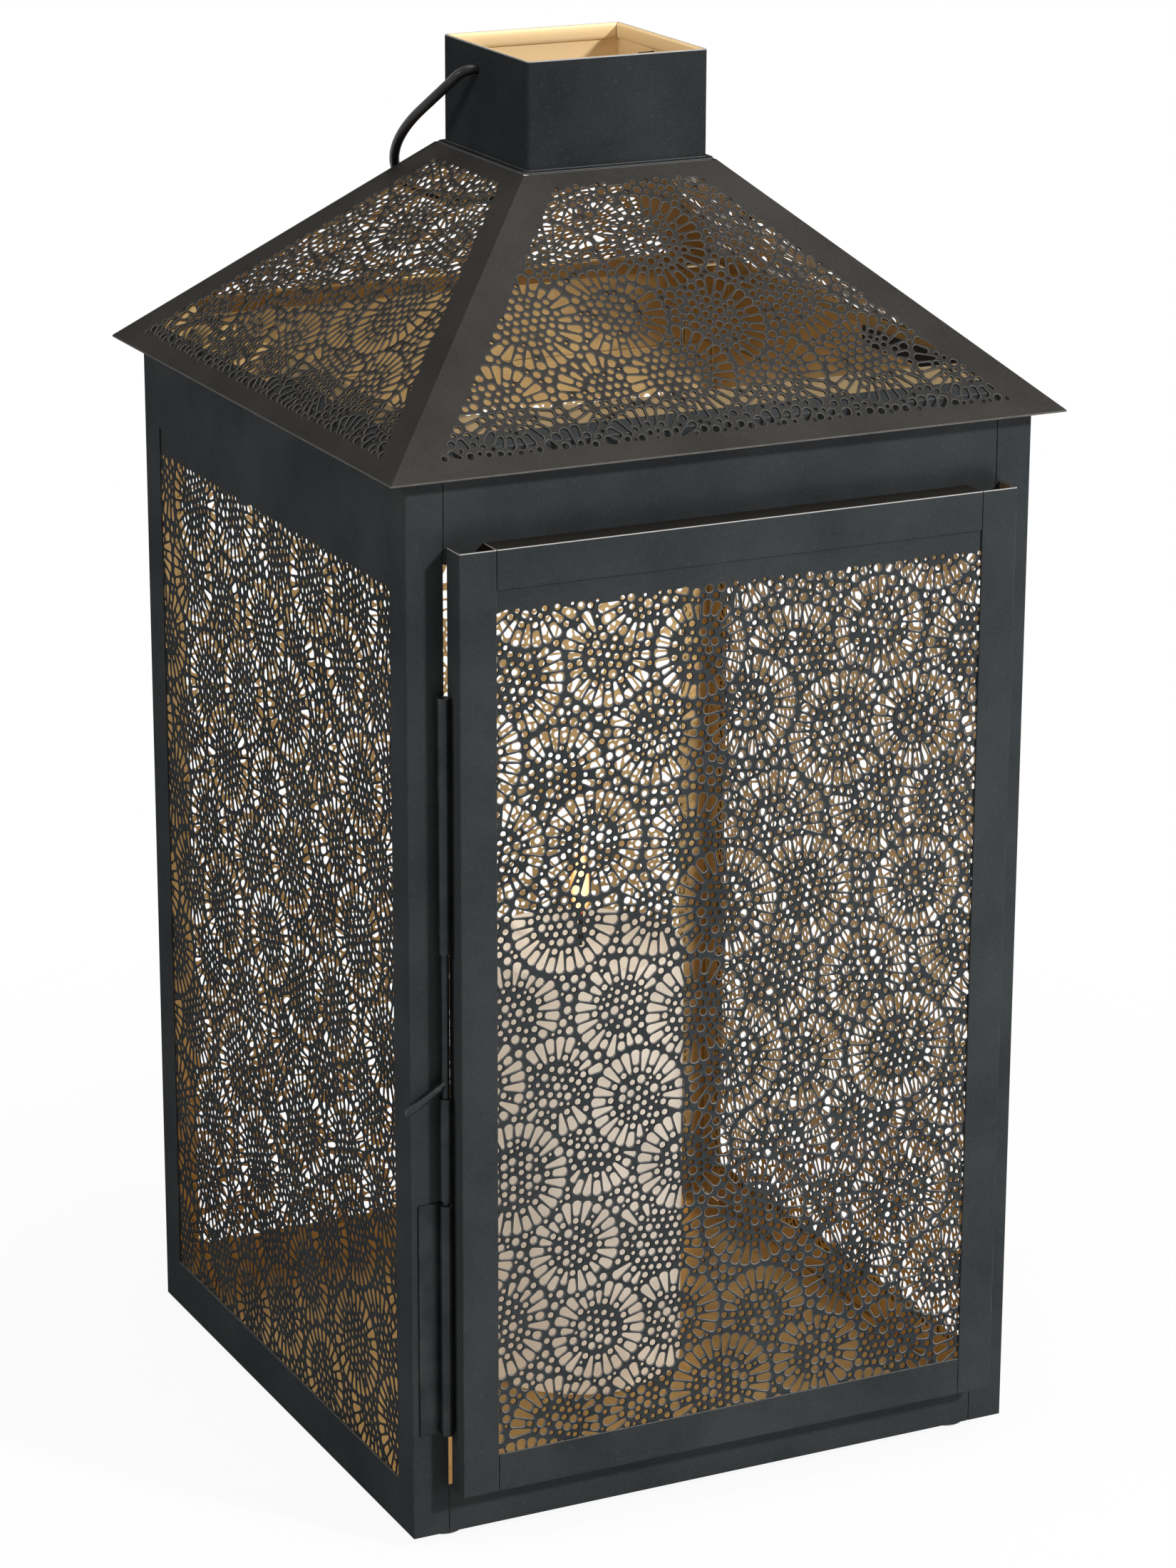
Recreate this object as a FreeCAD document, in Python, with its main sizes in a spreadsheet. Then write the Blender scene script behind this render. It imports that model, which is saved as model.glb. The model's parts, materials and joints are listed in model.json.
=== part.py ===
"""Pierced sheet-metal candle lantern: square body, hip roof, chimney collar, hinged door, slide bolt, bail.

Millimetres. +Z is up, +X is to the right seen from the door, and the door faces -Y.
The origin is on the floor, under the centre of the body.
"""
import FreeCAD
import Part

import math
import os

import Sketcher

Vector = FreeCAD.Vector

# Driving dimensions: alias, value, what it is.
SIZES = [
    ("bodyWidth", 230, "body across, left to right"),
    ("bodyDepth", 230, "body across, front to rear"),
    ("bodyHeight", 370, "foot of the body to the eave"),
    ("frameSheet", 0.9, "sheet of the posts and rails"),
    ("panelSheet", 0.7, "sheet of the pierced panels, roof, collar and door"),
    ("postLeg", 13, "leg of a corner angle"),
    ("seamGap", 0.2, "open seam where two frame pieces are butted"),
    ("topRailDrop", 30, "eave down to the lower edge of a top rail"),
    ("topRailFlange", 10, "flange of a top rail under the roof, measured level"),
    ("bottomRailHeight", 17.5, "height of a bottom rail"),
    ("bottomRailFlange", 12, "flange of a bottom rail under the base plate"),
    ("plateGap", 0.3, "base plate to the side panels"),
    ("panelEndGap", 2, "side panel's end to the inside of the frame"),
    ("panelOverlap", 8, "side panel above the lower edge of a top rail"),
    ("footDiameter", 15, "round foot"),
    ("footHeight", 3.5, "foot below the body"),
    ("footInsetSide", 16, "foot's centre from the side of the body"),
    ("footInsetFront", 12, "foot's centre from the front or rear of the body"),
    ("footChamfer", 0.8, "eased edge of a foot"),
    ("roofOverhang", 8.5, "eave beyond the front and rear; the sides follow, so that hips meet posts"),
    ("roofRise", 77, "eave to the top edge of the roof"),
    ("roofLedge", 2.5, "top edge of the roof beyond the collar"),
    ("chimneyWidth", 67, "collar across"),
    ("hemDepth", 5.8, "inward hem at the collar's rim"),
    ("hemGap", 0.4, "hem above the bail's holes"),
    ("hemThickness", 2.2, "hem with its fold, from the collar's outer face"),
    ("doorInsetLeft", 14, "door's left edge from the side of the body"),
    ("doorInsetRight", 11, "door's right edge from the side of the body"),
    ("doorInsetTop", 24, "door's top edge below the eave"),
    ("doorLift", 17, "door's lower edge above the foot of the body"),
    ("doorProud", 10.4, "door's face in front of the body"),
    ("doorGap", 0.6, "door's returns to the body's face"),
    ("doorStileWidth", 13, "width of a door stile"),
    ("doorRailWidth", 13.5, "width of a door rail"),
    ("doorPanelGap", 0.3, "door panel to the returns round it"),
    ("hingeLength", 40, "two knuckles of a hinge together"),
    ("hingePin", 2.2, "hinge pin's diameter"),
    ("hingePinClearance", 0.1, "knuckle's bore over the pin, on the diameter"),
    ("hingeWall", 0.85, "knuckle's wall"),
    ("hingeHead", 3.8, "hinge pin's head diameter"),
    ("hingeHeadHeight", 1.0, "hinge pin's head height"),
    ("knuckleGap", 0.3, "end play between knuckles and under a pin's head"),
    ("barrelGap", 0.3, "side of a knuckle or guide to the door's edge"),
    ("barrelStandOff", 2.8, "hinge and bolt axes in front of the body's face"),
    ("hingeInsetTop", 10, "upper hinge's top end below the door's top edge"),
    ("hingeInsetBottom", 12, "lower hinge's bottom end above the door's lower edge"),
    ("webThickness", 1.6, "web that joins a barrel to its sheet"),
    ("boltDiameter", 2.8, "bolt rod's diameter"),
    ("boltClearance", 0.2, "bore of the guides and the keeper over the rod, on the diameter"),
    ("guideWall", 0.7, "wall of the guides and the keeper"),
    ("keeperLift", 38, "keeper's lower end above the foot of the body"),
    ("keeperLength", 83.5, "keeper's length"),
    ("keeperFlange", 9, "keeper's flange, from the bolt's axis outwards"),
    ("keeperGap", 1.8, "keeper to the lower guide"),
    ("guideLowerLength", 36.2, "lower guide's length"),
    ("handleRun", 50.5, "open run of the rod between the guides, where the handle moves"),
    ("guideInsetTop", 49, "upper guide's top below the door's top edge"),
    ("boltInsetTop", 7, "rod's top end inside the upper guide"),
    ("boltGrip", 34.5, "rod's lower end inside the keeper"),
    ("boltChamfer", 0.5, "eased end of the rod"),
    ("handleRise", 5, "handle's root above the lower guide"),
    ("handleLength", 15.5, "handle's length from the rod's axis"),
    ("handleDiameter", 2.6, "handle's diameter"),
    ("handleDrop", 31, "handle's slope below level, degrees"),
    ("bailWire", 3.5, "bail wire's diameter"),
    ("bailBow", 49, "radius of the bail's bow"),
    ("bailFlare", 18.3, "slope of the bail's legs away from the collar, degrees"),
    ("bailNeck", 1.6, "straight wire between the collar and a shoulder"),
    ("bailShoulder", 5, "radius of the bail's shoulders"),
    ("bailTail", 5, "bail's end inside the collar"),
    ("bailPivotBack", 6, "pivot axis behind the collar's centre"),
    ("bailHoleClearance", 0.3, "hole in the collar over the wire, on the diameter"),
    ("bailRoofGap", 0.3, "bail above the roof slope that it lies on"),
    ("candleDiameter", 75, "pillar candle"),
    ("candleHeight", 161.5, "pillar candle"),
    ("candleFront", 6, "candle's axis in front of the body's centre"),
    ("candleEdge", 2.5, "eased edge of the candle"),
    ("wickDiameter", 2.0, "wick"),
    ("wickHeight", 12.7, "wick above the candle"),
    ("studAlong", 31.5, "stud's centre from the roof's top edge, measured level"),
    ("studDiameter", 5.5, "roof stud's body"),
    ("studHeight", 4.0, "roof stud's body above the roof"),
    ("studTipDiameter", 3.2, "roof stud's rounded tip"),
    ("studTipHeight", 2.6, "roof stud's rounded tip above its body"),
    ("studChamfer", 0.7, "eased edges of the stud"),
    ("rosettePitch", 46, "spacing of the pierced rosettes"),
    ("rosetteRing", 13, "radius of a rosette's ring"),
    ("ringCount", 8, "holes on a rosette's ring"),
    ("ringHole", 7, "hole on a rosette's ring"),
    ("eyeHole", 9, "hole in a rosette's middle"),
    ("fillHole", 5, "hole between four rosettes"),
    ("sideMargin", 15, "plain border of a side or door panel"),
    ("roofMargin", 11, "plain border of a roof slope"),
]

# Places worked out from them, each a formula on the two sheets.
PLACES = [
    ("halfWidth", "Sizes.bodyWidth / 2"),
    ("halfDepth", "Sizes.bodyDepth / 2"),
    ("bodyFoot", "Sizes.footHeight"),
    ("eaveHeight", "bodyFoot + Sizes.bodyHeight"),
    ("roofTopHalf", "Sizes.chimneyWidth / 2 + Sizes.roofLedge"),
    ("sideOverhang", "Sizes.roofOverhang * (halfWidth - roofTopHalf) / (halfDepth - roofTopHalf)"),
    ("eaveHalfWidth", "halfWidth + sideOverhang"),
    ("eaveHalfDepth", "halfDepth + Sizes.roofOverhang"),
    ("roofTopHeight", "eaveHeight + Sizes.roofRise"),
    ("slopeWidth", "Sizes.roofRise / (eaveHalfWidth - roofTopHalf)"),
    ("slopeDepth", "Sizes.roofRise / (eaveHalfDepth - roofTopHalf)"),
    ("roofDropWidth", "Sizes.panelSheet * sqrt(1 + slopeWidth ^ 2)"),
    ("roofDropDepth", "Sizes.panelSheet * sqrt(1 + slopeDepth ^ 2)"),
    ("railTopWidth", "eaveHeight + sideOverhang * slopeWidth - roofDropWidth"),
    ("railTopDepth", "eaveHeight + Sizes.roofOverhang * slopeDepth - roofDropDepth"),
    ("postTop", "min(railTopWidth; railTopDepth) - Sizes.seamGap"),
    ("railLow", "eaveHeight - Sizes.topRailDrop"),
    ("plateHalfWidth", "halfWidth - Sizes.frameSheet - Sizes.panelSheet - Sizes.plateGap"),
    ("plateHalfDepth", "halfDepth - Sizes.frameSheet - Sizes.panelSheet - Sizes.plateGap"),
    ("plateTop", "bodyFoot + Sizes.frameSheet + Sizes.panelSheet"),
    ("doorLeft", "Sizes.doorInsetLeft - halfWidth"),
    ("doorRight", "halfWidth - Sizes.doorInsetRight"),
    ("doorMiddle", "(doorLeft + doorRight) / 2"),
    ("doorWidth", "doorRight - doorLeft"),
    ("doorLow", "bodyFoot + Sizes.doorLift"),
    ("doorTop", "eaveHeight - Sizes.doorInsetTop"),
    ("doorFace", "-halfDepth - Sizes.doorProud"),
    ("doorBack", "-halfDepth - Sizes.doorGap"),
    ("barrelLine", "-halfDepth - Sizes.barrelStandOff"),
    ("hingeBore", "Sizes.hingePin + Sizes.hingePinClearance"),
    ("hingeOuter", "hingeBore + 2 * Sizes.hingeWall"),
    ("hingeLine", "doorRight + Sizes.barrelGap + hingeOuter / 2"),
    ("knuckleLength", "(Sizes.hingeLength - Sizes.knuckleGap) / 2"),
    ("hingeUpperLow", "doorTop - Sizes.hingeInsetTop - Sizes.hingeLength"),
    ("hingeLowerLow", "doorLow + Sizes.hingeInsetBottom"),
    ("guideBore", "Sizes.boltDiameter + Sizes.boltClearance"),
    ("guideOuter", "guideBore + 2 * Sizes.guideWall"),
    ("boltLine", "doorLeft - Sizes.barrelGap - guideOuter / 2"),
    ("keeperLow", "bodyFoot + Sizes.keeperLift"),
    ("keeperTop", "keeperLow + Sizes.keeperLength"),
    ("guideLowerLow", "keeperTop + Sizes.keeperGap"),
    ("guideLowerTop", "guideLowerLow + Sizes.guideLowerLength"),
    ("guideUpperLow", "guideLowerTop + Sizes.handleRun"),
    ("guideUpperTop", "doorTop - Sizes.guideInsetTop"),
    ("boltLow", "keeperTop - Sizes.boltGrip"),
    ("boltLength", "guideUpperTop - Sizes.boltInsetTop - boltLow"),
    ("handleHeight", "guideLowerTop + Sizes.handleRise"),
    ("bailHole", "Sizes.bailWire + Sizes.bailHoleClearance"),
    ("bailLift", "(Sizes.bailWire / 2 + Sizes.bailRoofGap) * sqrt(1 + slopeDepth ^ 2)"),
    ("bailHeight", "roofTopHeight + (roofTopHalf - Sizes.bailPivotBack) * slopeDepth + bailLift"),
    ("chimneyTop", "bailHeight + bailHole / 2 + Sizes.hemGap + Sizes.hemDepth"),
]

# Left, front, and so on: which way a side or a corner lies from the centre.
SIDES = {"front": (0, -1), "rear": (0, 1), "left": (-1, 0), "right": (1, 0)}
CORNERS = {"front_left": (-1, -1), "front_right": (1, -1), "rear_left": (-1, 1), "rear_right": (1, 1)}

doc = FreeCAD.newDocument("Lantern")
pieces = []


def makeSheets():
    """Write the driving sizes as plain numbers, and the worked-out places as formulas."""
    sizes = doc.addObject("Spreadsheet::Sheet", "Sizes")
    for row, (alias, value, note) in enumerate(SIZES, start=1):
        sizes.set("A%d" % row, alias)
        sizes.set("B%d" % row, str(value))
        sizes.set("C%d" % row, note)
        sizes.setAlias("B%d" % row, alias)
    doc.recompute()
    places = doc.addObject("Spreadsheet::Sheet", "Places")
    for row, (alias, formula) in enumerate(PLACES, start=1):
        places.set("A%d" % row, alias)
        places.set("B%d" % row, "=" + formula)
        places.setAlias("B%d" % row, alias)
        doc.recompute()
    return sizes, places


sizes, places = makeSheets()


def size(alias):
    """A driving dimension as a number, for the shapes that code makes."""
    return float(getattr(sizes, alias))


def place(alias):
    """A worked-out place as a number."""
    return float(getattr(places, alias))


def put(thing, x="0", y="0", z="0", turn=None):
    """Bind an object's place to formulas, after an optional turn about its own origin."""
    if turn:
        thing.Placement = FreeCAD.Placement(Vector(), turn)
    for axis, formula in (("x", x), ("y", y), ("z", z)):
        thing.setExpression("Placement.Base." + axis, formula)
    return thing


def keep(thing, label):
    """Mark an object as a finished piece."""
    thing.Label = label
    pieces.append(thing)
    return thing


# ---------------------------------------------------------------- profiles and simple solids


def outlineSketch(body, name, plane, corners):
    """A closed outline on one of the body's own planes, each corner bound to two formulas."""
    sketch = body.newObject("Sketcher::SketchObject", name)
    origin = [feature for feature in body.Origin.OriginFeatures if feature.Role == plane][0]
    sketch.AttachmentSupport = (origin, [""])
    sketch.MapMode = "FlatFace"
    count = len(corners)
    ring = [Vector(math.cos(math.tau * i / count), math.sin(math.tau * i / count), 0) for i in range(count)]
    for i in range(count):
        sketch.addGeometry(Part.LineSegment(ring[i], ring[(i + 1) % count]), False)
    for i in range(count):
        sketch.addConstraint(Sketcher.Constraint("Coincident", i, 2, (i + 1) % count, 1))
    for i, corner in enumerate(corners):
        for kind, formula in zip(("DistanceX", "DistanceY"), corner):
            index = sketch.addConstraint(Sketcher.Constraint(kind, -1, 1, i, 1, 1.0))
            sketch.setExpression("Constraints[%d]" % index, formula)
    return sketch


def paddedPiece(label, plane, corners, length, centred=False):
    """A sheet-metal section: an outline padded to a length."""
    body = doc.addObject("PartDesign::Body", label)
    sketch = outlineSketch(body, label + "_outline", plane, corners)
    pad = body.newObject("PartDesign::Pad", label + "_pad")
    pad.Profile = sketch
    pad.setExpression("Length", length)
    if centred:
        pad.Midplane = True
    sketch.Visibility = False
    return keep(body, label)


def turnedPiece(label, corners):
    """A turned piece: half a section, revolved about its own Z axis."""
    body = doc.addObject("PartDesign::Body", label)
    sketch = outlineSketch(body, label + "_section", "XZ_Plane", corners)
    turn = body.newObject("PartDesign::Revolution", label + "_turn")
    turn.Profile = sketch
    turn.ReferenceAxis = (sketch, ["V_Axis"])
    turn.Angle = 360
    return keep(body, label)


def easedRod(radius, height, ease):
    """Half the section of a rod with both its ends eased."""
    return [
        ("0", "0"),
        ("%s - %s" % (radius, ease), "0"),
        (radius, ease),
        (radius, "%s - %s" % (height, ease)),
        ("%s - %s" % (radius, ease), height),
        ("0", height),
    ]


def block(name, lengths, low):
    """A box from formulas: its three lengths and its low corner."""
    box = doc.addObject("Part::Box", name)
    for side, formula in zip(("Length", "Width", "Height"), lengths):
        box.setExpression(side, formula)
    return put(box, *low)


def squareRing(name, outer, inner, low, height):
    """A square ring about the Z axis: outer and inner widths, lower face and height."""
    pair = []
    for part, across in (("outer", outer), ("inner", inner)):
        corner = "-(%s) / 2" % across
        pair.append(block("%s_%s" % (name, part), (across, across, height), (corner, corner, low)))
    ring = doc.addObject("Part::Cut", name)
    ring.Base, ring.Tool = pair
    return ring


def rod(name, diameter, length, low):
    """A round bar along Z from formulas."""
    bar = doc.addObject("Part::Cylinder", name)
    bar.setExpression("Radius", "(%s) / 2" % diameter)
    bar.setExpression("Height", length)
    return put(bar, *low)


def fused(name, parts):
    joined = doc.addObject("Part::MultiFuse", name)
    joined.Shapes = parts
    return joined


def less(name, base, tool):
    cut = doc.addObject("Part::Cut", name)
    cut.Base = base
    cut.Tool = tool
    return cut


# ---------------------------------------------------------------- body frame


def makePosts():
    """Four L angles. Each outline runs round the angle from the outer corner."""
    for corner, (sx, sy) in CORNERS.items():
        far = "Sizes.postLeg"
        thin = "Sizes.frameSheet"
        steps = [("0", "0"), (far, "0"), (far, thin), (thin, thin), (thin, far), ("0", far)]
        outline = [
            ("%d * (Places.halfWidth - %s)" % (sx, x), "%d * (Places.halfDepth - %s)" % (sy, y))
            for x, y in steps
        ]
        post = paddedPiece("corner_post_" + corner, "XY_Plane", outline, "Places.postTop - Places.bodyFoot")
        put(post, z="Places.bodyFoot")


def makeRails():
    """Top rails carry a flange that lies under the roof, bottom rails one that carries the base plate."""
    for side, (sx, sy) in SIDES.items():
        across = "Depth" if sy else "Width"
        along = "Width" if sy else "Depth"
        plane = "YZ_Plane" if sy else "XZ_Plane"
        sign = sx + sy
        face = "Places.half" + across
        slope = "Places.slope" + across
        drop = "Places.roofDrop" + across
        peak = "Places.railTop" + across
        thin = "Sizes.frameSheet"
        reach = "Sizes.topRailFlange"
        length = "2 * (Places.half%s - Sizes.postLeg - Sizes.seamGap)" % along
        thick = "Sizes.frameSheet / Sizes.panelSheet * " + drop
        top = [
            ("0", "Places.railLow"),
            ("0", peak),
            (reach, "%s + %s * %s" % (peak, reach, slope)),
            (reach, "%s + %s * %s - %s" % (peak, reach, slope, thick)),
            (thin, "%s + %s * %s - %s" % (peak, thin, slope, thick)),
            (thin, "Places.railLow"),
        ]
        low = [
            ("0", "Places.bodyFoot"),
            ("0", "Places.bodyFoot + Sizes.bottomRailHeight"),
            (thin, "Places.bodyFoot + Sizes.bottomRailHeight"),
            (thin, "Places.bodyFoot + Sizes.frameSheet"),
            ("Sizes.bottomRailFlange", "Places.bodyFoot + Sizes.frameSheet"),
            ("Sizes.bottomRailFlange", "Places.bodyFoot"),
        ]
        for label, steps in (("top_rail_", top), ("bottom_rail_", low)):
            outline = [("%d * (%s - %s)" % (sign, face, inward), z) for inward, z in steps]
            paddedPiece(label + side, plane, outline, length, centred=True)


def makeBasePlate():
    lengths = ("2 * Places.plateHalfWidth", "2 * Places.plateHalfDepth", "Sizes.panelSheet")
    low = ("-Places.plateHalfWidth", "-Places.plateHalfDepth", "Places.bodyFoot + Sizes.frameSheet")
    keep(block("base_plate", lengths, low), "base_plate")


def makeFeet():
    for corner, (sx, sy) in CORNERS.items():
        section = [
            ("0", "0"),
            ("Sizes.footDiameter / 2 - Sizes.footChamfer", "0"),
            ("Sizes.footDiameter / 2", "Sizes.footChamfer"),
            ("Sizes.footDiameter / 2", "Sizes.footHeight"),
            ("0", "Sizes.footHeight"),
        ]
        foot = turnedPiece("foot_" + corner, section)
        put(
            foot,
            "%d * (Places.halfWidth - Sizes.footInsetSide)" % sx,
            "%d * (Places.halfDepth - Sizes.footInsetFront)" % sy,
        )


# ---------------------------------------------------------------- pierced sheets


def rosetteHoles(inside):
    """Centres and radii of the holes: rosettes on a square grid, one small hole between each four.

    inside(u, v, r) says whether a round patch of radius r at (u, v) lies within the plain border.
    """
    pitch = size("rosettePitch")
    ring = size("rosetteRing")
    around = int(size("ringCount"))
    longest = max(size("bodyWidth"), size("bodyDepth"), size("bodyHeight"))
    reach = math.ceil(longest / pitch)
    holes = []
    for row in range(-reach, reach + 1):
        for column in range(-reach, reach + 1):
            u = (column + 0.5) * pitch
            v = row * pitch
            if inside(u, v, ring + size("ringHole") / 2):
                holes.append((u, v, size("eyeHole") / 2))
                for step in range(around):
                    turn = math.tau * step / around
                    spot = (u + ring * math.cos(turn), v + ring * math.sin(turn))
                    holes.append(spot + (size("ringHole") / 2,))
            if inside(u + pitch / 2, v + pitch / 2, size("fillHole") / 2):
                holes.append((u + pitch / 2, v + pitch / 2, size("fillHole") / 2))
    return holes


def piercedFace(outline, holes):
    """A flat face in its own U-V plane with round holes through it."""
    points = [Vector(u, v, 0) for u, v in outline]
    rim = Part.makePolygon(points + [points[0]])
    circles = [Part.Wire(Part.makeCircle(r, Vector(u, v, 0))) for u, v, r in holes]
    return Part.Face([rim] + circles, "Part::FaceMakerBullseye")


def rectangleHoles(halfAcross, low, high):
    """Rosettes within the plain border of an upright sheet."""
    border = size("sideMargin")
    middle = (low + high) / 2

    def inside(u, v, r):
        return abs(u) + r <= halfAcross - border and abs(v) + r <= (high - low) / 2 - border

    return [(u, v + middle, r) for u, v, r in rosetteHoles(inside)]


def uprightSheet(label, halfAcross, low, high, turn, x, y):
    """A pierced sheet stood up: U runs level, V runs up, and its thickness runs outwards."""
    outline = [(-halfAcross, low), (halfAcross, low), (halfAcross, high), (-halfAcross, high)]
    face = piercedFace(outline, rectangleHoles(halfAcross, low, high))
    sheet = doc.addObject("Part::Feature", label)
    sheet.Shape = face.extrude(Vector(0, 0, size("panelSheet")))
    stand = FreeCAD.Rotation(Vector(0, 0, 1), turn).multiply(FreeCAD.Rotation(Vector(1, 0, 0), 90))
    sheet.Placement = FreeCAD.Placement(Vector(x, y, 0), stand)
    keep(sheet, label)


def makeSidePanels():
    """Left, right and rear sheets, standing on the bottom rails' flanges behind the frame."""
    low = place("bodyFoot") + size("frameSheet")
    high = place("railLow") + size("panelOverlap")
    behind = size("frameSheet") + size("panelSheet")
    ends = size("frameSheet") + size("panelEndGap")
    for side, turn in (("left", -90), ("right", 90), ("rear", 180)):
        sx, sy = SIDES[side]
        halfAcross = (place("halfWidth") if sy else place("halfDepth")) - ends
        x = sx * (place("halfWidth") - behind)
        y = sy * (place("halfDepth") - behind)
        uprightSheet("side_panel_" + side, halfAcross, low, high, turn, x, y)


def makeDoorPanel():
    """The door's sheet lies behind the face of its frame."""
    inset = size("panelSheet") + size("doorPanelGap")
    halfAcross = place("doorWidth") / 2 - inset
    low = place("doorLow") + inset
    high = place("doorTop") - inset
    y = place("doorFace") + 2 * size("panelSheet")
    uprightSheet("door_panel", halfAcross, low, high, 0, place("doorMiddle"), y)


def makeRoof():
    """Four slopes, mitred on the hips. Each is pierced flat, then laid on its slope."""
    top = place("roofTopHalf")
    rise = size("roofRise")
    border = size("roofMargin")
    for side, turn in (("front", 0), ("right", 90), ("rear", 180), ("left", 270)):
        sx, sy = SIDES[side]
        along, across = ("Width", "Depth") if sy else ("Depth", "Width")
        eave = place("eaveHalf" + along)
        level = place("eaveHalf" + across) - top
        length = math.hypot(level, rise)
        narrowing = (eave - top) / length
        edge = border * math.hypot(1, narrowing)

        def inside(u, v, r):
            clear = abs(u) + r * math.hypot(1, narrowing) <= eave - v * narrowing - edge
            return clear and border + r <= v <= length - border - r

        first = border + size("rosetteRing") + size("ringHole") / 2
        shifted = rosetteHoles(lambda u, v, r: inside(u, v + first, r))
        holes = [(u, v + first, r) for u, v, r in shifted]
        face = piercedFace([(-eave, 0), (eave, 0), (top, length), (-top, length)], holes)
        tilt = math.degrees(math.atan2(rise, level))
        lay = FreeCAD.Rotation(Vector(0, 0, 1), turn).multiply(FreeCAD.Rotation(Vector(1, 0, 0), tilt))
        outward = Vector(sx * place("eaveHalfWidth"), sy * place("eaveHalfDepth"), place("eaveHeight"))
        face.Placement = FreeCAD.Placement(outward, lay)
        slope = doc.addObject("Part::Feature", "roof_panel_" + side)
        slope.Shape = face.extrude(Vector(0, 0, -place("roofDrop" + across)))
        keep(slope, "roof_panel_" + side)


# ---------------------------------------------------------------- chimney collar and bail


def makeChimney():
    """A square tube with a foot flange on the roof's top edge, a hem inside its rim and two bail holes."""
    across = "Sizes.chimneyWidth"
    throat = "Sizes.chimneyWidth - 2 * Sizes.panelSheet"
    low = "Places.roofTopHeight"
    tube = squareRing("collar_tube", across, throat, low, "Places.chimneyTop - " + low)
    flange = squareRing("collar_foot", "2 * Places.roofTopHalf", throat, low, "Sizes.panelSheet")
    inner = "Sizes.chimneyWidth - 2 * Sizes.hemThickness"
    hem = squareRing("collar_hem", across, inner, "Places.chimneyTop - Sizes.hemDepth", "Sizes.hemDepth")
    collar = fused("collar_whole", [tube, flange, hem])
    drill = rod("collar_drill", "Places.bailHole", across, ("0", "0", "0"))
    quarter = FreeCAD.Rotation(Vector(0, 1, 0), 90)
    put(drill, "-Sizes.chimneyWidth / 2", "Sizes.bailPivotBack", "Places.bailHeight", quarter)
    keep(less("chimney_collar", collar, drill), "chimney_collar")


def bailPath():
    """Tail, shoulder, leg, bow, leg, shoulder and tail in the bail's own plane, whose U axis is the pivot axis."""
    bow = size("bailBow")
    shoulder = size("bailShoulder")
    flare = math.radians(size("bailFlare"))
    elbow = Vector(size("chimneyWidth") / 2 + size("bailNeck"), 0, 0)
    tail = Vector(size("chimneyWidth") / 2 - size("panelSheet") - size("bailTail"), 0, 0)
    reach = shoulder + (bow - shoulder - elbow.x * math.cos(flare)) / math.sin(flare)

    def around(radius, across, along, angle):
        return Vector(across + radius * math.cos(angle), along + radius * math.sin(angle), 0)

    swell = around(shoulder, elbow.x, shoulder, -(math.pi / 2 + flare) / 2)
    legFoot = around(shoulder, elbow.x, shoulder, -flare)
    legTop = around(bow, 0, reach, -flare)

    def mirrored(point):
        return Vector(-point.x, point.y, 0)

    return [
        Part.LineSegment(mirrored(tail), mirrored(elbow)),
        Part.Arc(mirrored(elbow), mirrored(swell), mirrored(legFoot)),
        Part.LineSegment(mirrored(legFoot), mirrored(legTop)),
        Part.Arc(mirrored(legTop), Vector(0, reach + bow, 0), legTop),
        Part.LineSegment(legTop, legFoot),
        Part.Arc(legFoot, swell, elbow),
        Part.LineSegment(elbow, tail),
    ]


def makeBail():
    """A bent wire through the collar, folded back on the rear slope of the roof."""
    path = Part.Wire([piece.toShape() for piece in bailPath()])
    start = path.Edges[0].Vertexes[0].Point
    section = Part.Wire(Part.makeCircle(size("bailWire") / 2, start, Vector(1, 0, 0)))
    bail = doc.addObject("Part::Feature", "bail")
    bail.Shape = path.makePipeShell([section], True, False)
    slope = math.degrees(math.atan(place("slopeDepth")))
    pivot = Vector(0, size("bailPivotBack"), place("bailHeight"))
    bail.Placement = FreeCAD.Placement(pivot, FreeCAD.Rotation(Vector(1, 0, 0), -slope))
    keep(bail, "bail")


def makeRoofStud():
    """A small stud with a rounded tip, square to the right slope."""
    body = "Sizes.studDiameter / 2"
    tip = "Sizes.studTipDiameter / 2"
    ease = "Sizes.studChamfer"
    high = "Sizes.studHeight"
    end = "Sizes.studHeight + Sizes.studTipHeight"
    section = [
        ("0", "0"),
        (body, "0"),
        (body, "%s - %s" % (high, ease)),
        ("%s - %s" % (body, ease), high),
        (tip, high),
        (tip, "%s - %s" % (end, ease)),
        ("%s - %s" % (tip, ease), end),
        ("0", end),
    ]
    lean = FreeCAD.Rotation(Vector(0, 1, 0), math.degrees(math.atan(place("slopeWidth"))))
    across = "Places.roofTopHalf + Sizes.studAlong"
    height = "Places.roofTopHeight - Sizes.studAlong * Places.slopeWidth"
    put(turnedPiece("roof_stud", section), across, "0", height, lean)


# ---------------------------------------------------------------- barrels: hinges, bolt guides, keeper


def barrel(label, line, low, length, outer, bore, web, extras=()):
    """A tube on a web. line is its axis as two formulas, web a block from the axis to the sheet it joins."""
    tube = rod(label + "_tube", outer, length, line + (low,))
    lengths, corner = web
    rib = block(label + "_web", lengths + (length,), corner + (low,))
    solid = fused(label + "_solid", [tube, rib] + list(extras))
    hole = rod(label + "_bore", bore, length, line + (low,))
    return keep(less(label, solid, hole), label)


def webToBody(line):
    """A web from a barrel's axis back to the body's front face."""
    x, y = line
    thick = "Sizes.webThickness"
    return ((thick, "Sizes.barrelStandOff"), ("%s - %s / 2" % (x, thick), y))


def webToDoor(start, end):
    """A web across from one formula to the next, between a barrel's axis and the door's edge."""
    thick = "Sizes.webThickness"
    return (("%s - %s" % (end, start), thick), (start, "Places.barrelLine - %s / 2" % thick))


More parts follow.
